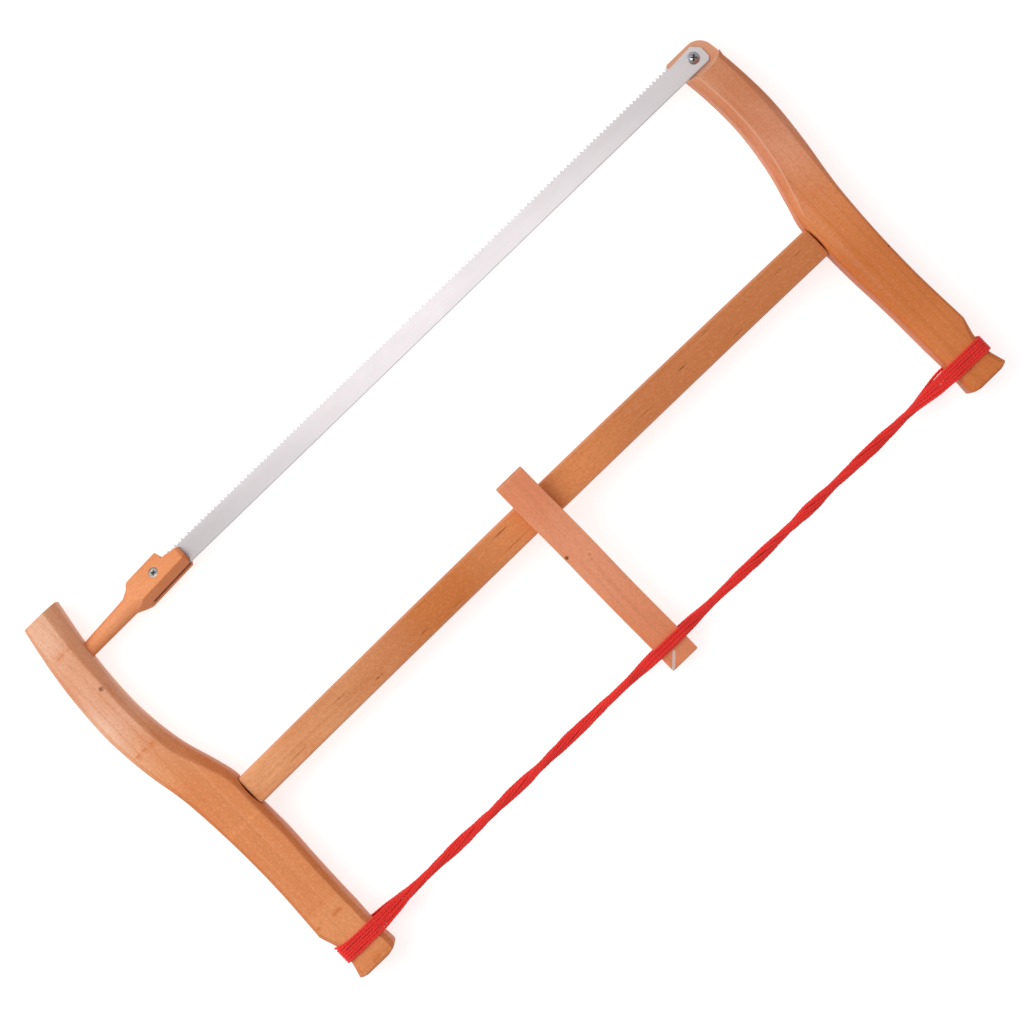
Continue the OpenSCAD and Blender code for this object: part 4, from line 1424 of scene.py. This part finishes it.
class BOWSAW_OT_cord(bpy.types.Operator):
    """Winds the red cord: its turns round both necks, the twist and the eye"""

    bl_idname = "bow_saw.cord"
    bl_label = "Tension cord"

    def execute(self, context):
        finish = laid_twine()
        for side, where in ((-1, "left"), (1, "right")):
            strands = [strand_mesh(turn_path(side, i), i) for i in range(TURNS)]
            if side < 0:
                strands.append(strand_mesh(self.tail(), 7))
            piece = join_strands(f"cord_turns_{where}", strands)
            piece.data.materials.append(finish)
            eye_x = TOGGLE_X + side * EYE_HALF
            start = (side * (SHOULDER - 6) * MM, CORD_Y * MM, MID_Z * MM)
            end = ((eye_x + side * 2) * MM, CORD_Y * MM, MID_Z * MM)
            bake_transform(piece)
            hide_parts(f"cord_wrap_{where}", f"cord_span_{where}")
        eye = [strand_mesh(eye_path(i, front), i + (0 if front else 6))
               for front in (True, False) for i in range(TURNS)]
        dress(join_strands("cord_eye_strands", eye), finish, "cord_eye", ["cord_eye"])
        knot = strand_mesh(self.knot(), 3)
        dress(join_strands("cord_knot_tie", [knot]), finish, "cord", ["cord_knot"])
        return {"FINISHED"}

    def tail(self):
        """End of the twine, tucked under the first turn at the outer left corner."""
        out_x = SHOULDER + NECK_OUT + NECK_SHIFT[-1][0]
        top = CORD_Y + BAND / 2 - cord_line(-out_x)
        points = [(-out_x + 5.0, top - 0.4, CHEEK_T + 0.62), (-out_x + 2.4, top + 0.1, CHEEK_T + 0.6),
                  (-out_x + 0.4, top + 0.45, CHEEK_T - 0.5), (-out_x - 0.7, top + 0.95, CHEEK_T - 1.7),
                  (-out_x - 1.1, top + 1.25, CHEEK_T - 2.4)]
        radii = [0.5, 0.5, 0.52, 0.5, 0.3]
        path = np.column_stack([np.array(points), radii])
        return softened(even_path(path, 0.4), 3)

    def knot(self):
        """Small overhand knot around the back turns beside the left neck."""
        low, high = node_box("cord_knot")
        middle = (low + high) / 2
        points = []
        for t in np.linspace(-0.2, 2 * math.pi + 0.2, 60):
            r = 0.95 + 0.35 * math.cos(3 * t)
            points.append((middle[0] + 0.45 * math.sin(3 * t), middle[1] + r * math.cos(2 * t),
                           middle[2] + 0.9 * r * math.sin(2 * t)))
        points.insert(0, (middle[0] + 2.6, middle[1] + 2.0, middle[2] - 0.6))
        points.append((middle[0] + 2.9, middle[1] - 1.6, middle[2] + 0.5))
        path = np.column_stack([np.array(points), np.full(len(points), 0.46)])
        return softened(even_path(path, 0.35), 3)


# ---------------------------------------------------------------- stage
FLOOR_Z = -0.25
FLOOR_REACH = 1500.0
FLOOR_GLOW = 0.7
# The camera's height above the middle of the saw in metres, its lens and its roll
CAMERA_HEIGHT = 1.25
CAMERA_LENS = 78.5 * CAMERA_HEIGHT / 0.9
CAMERA_ROLL = math.radians(-44.08)


class BOWSAW_OT_stage(bpy.types.Operator):
    """Lays the pale floor and sets the lights and the camera"""

    bl_idname = "bow_saw.stage"
    bl_label = "Stage"

    def execute(self, context):
        stage = context.scene.bow_saw_stage
        context.scene.view_settings.view_transform = "Standard"
        self.floor(stage)
        self.lights(stage)
        self.camera(context)
        return {"FINISHED"}

    def floor(self, stage):
        steps = np.linspace(-FLOOR_REACH, FLOOR_REACH, 9)
        points = [(x, y, FLOOR_Z) for y in steps for x in steps]
        faces = []
        for j in range(8):
            for i in range(8):
                a = j * 9 + i
                faces.append((a, a + 1, a + 10, a + 9))
        floor = new_piece("studio_floor", points, faces)
        floor.data.materials.append(matt_paper("studio_paper", stage.floor_colour, FLOOR_GLOW))

    def lights(self, stage):
        world = bpy.data.worlds.new("pale_room")
        world.use_nodes = True
        room = world.node_tree.nodes["Background"]
        room.inputs["Color"].default_value = (1.0, 0.985, 0.98, 1.0)
        room.inputs["Strength"].default_value = stage.room_light
        bpy.context.scene.world = world
        left = Vector((-0.72, 0.69, 0))
        self.lamp("key", left * 0.9 + Vector((0, 0, 1.0)), 1.3, stage.key_power)
        self.lamp("top", Vector((0.09, 0.1, 1.9)), 0.5, stage.top_power)

    def lamp(self, name, place, size, power):
        data = bpy.data.lights.new(name, "AREA")
        data.shape = "DISK"
        data.size = size
        data.energy = power
        lamp = bpy.data.objects.new(name, data)
        lamp.location = place
        lamp.rotation_mode = "QUATERNION"
        lamp.rotation_quaternion = (Vector((0, 0, 0.01)) - place).to_track_quat("-Z", "Y")
        bpy.context.scene.collection.objects.link(lamp)

    def camera(self, context):
        data = bpy.data.cameras.new("camera")
        data.sensor_width = 36.0
        data.lens = CAMERA_LENS
        data.clip_start = 0.01
        data.clip_end = 10.0
        camera = bpy.data.objects.new("camera", data)
        camera.location = (-4.95 * MM, -4.0 * MM, CAMERA_HEIGHT + MID_Z * MM)
        camera.rotation_euler = (0.0, 0.0, CAMERA_ROLL)
        context.scene.collection.objects.link(camera)
        context.scene.camera = camera


# ---------------------------------------------------------------- panel and start
class BOWSAW_PT_panel(bpy.types.Panel):
    """Lists the pieces of the saw and their sizes and colours"""

    bl_idname = "BOWSAW_PT_panel"
    bl_label = "Bow Saw"
    bl_space_type = "VIEW_3D"
    bl_region_type = "UI"
    bl_category = "Bow Saw"

    def draw(self, context):
        column = self.layout.column(align=True)
        for operator in OPERATORS:
            column.operator(operator.bl_idname)
        for key, group in SETTINGS.items():
            box = self.layout.box()
            box.label(text=group.__doc__)
            for name in group.__annotations__:
                box.prop(getattr(context.scene, key), name)


SETTINGS = {
    "bow_saw_wood": BowSawWood,
    "bow_saw_steel": BowSawSteel,
    "bow_saw_cord": BowSawCord,
    "bow_saw_stage": BowSawStage,
}
OPERATORS = [
    BOWSAW_OT_cheeks,
    BOWSAW_OT_stretcher,
    BOWSAW_OT_blade,
    BOWSAW_OT_holder,
    BOWSAW_OT_screws,
    BOWSAW_OT_toggle,
    BOWSAW_OT_cord,
    BOWSAW_OT_stage,
]


def register():
    for group in SETTINGS.values():
        bpy.utils.register_class(group)
    for operator in OPERATORS:
        bpy.utils.register_class(operator)
    bpy.utils.register_class(BOWSAW_PT_panel)
    for key, group in SETTINGS.items():
        setattr(bpy.types.Scene, key, bpy.props.PointerProperty(type=group))


def unregister():
    for key in SETTINGS:
        delattr(bpy.types.Scene, key)
    bpy.utils.unregister_class(BOWSAW_PT_panel)
    for operator in reversed(OPERATORS):
        bpy.utils.unregister_class(operator)
    for group in reversed(SETTINGS.values()):
        bpy.utils.unregister_class(group)


def main():
    register()
    for operator in OPERATORS:
        group, name = operator.bl_idname.split(".")
        getattr(getattr(bpy.ops, group), name)()


if __name__ == "__main__":
    main()
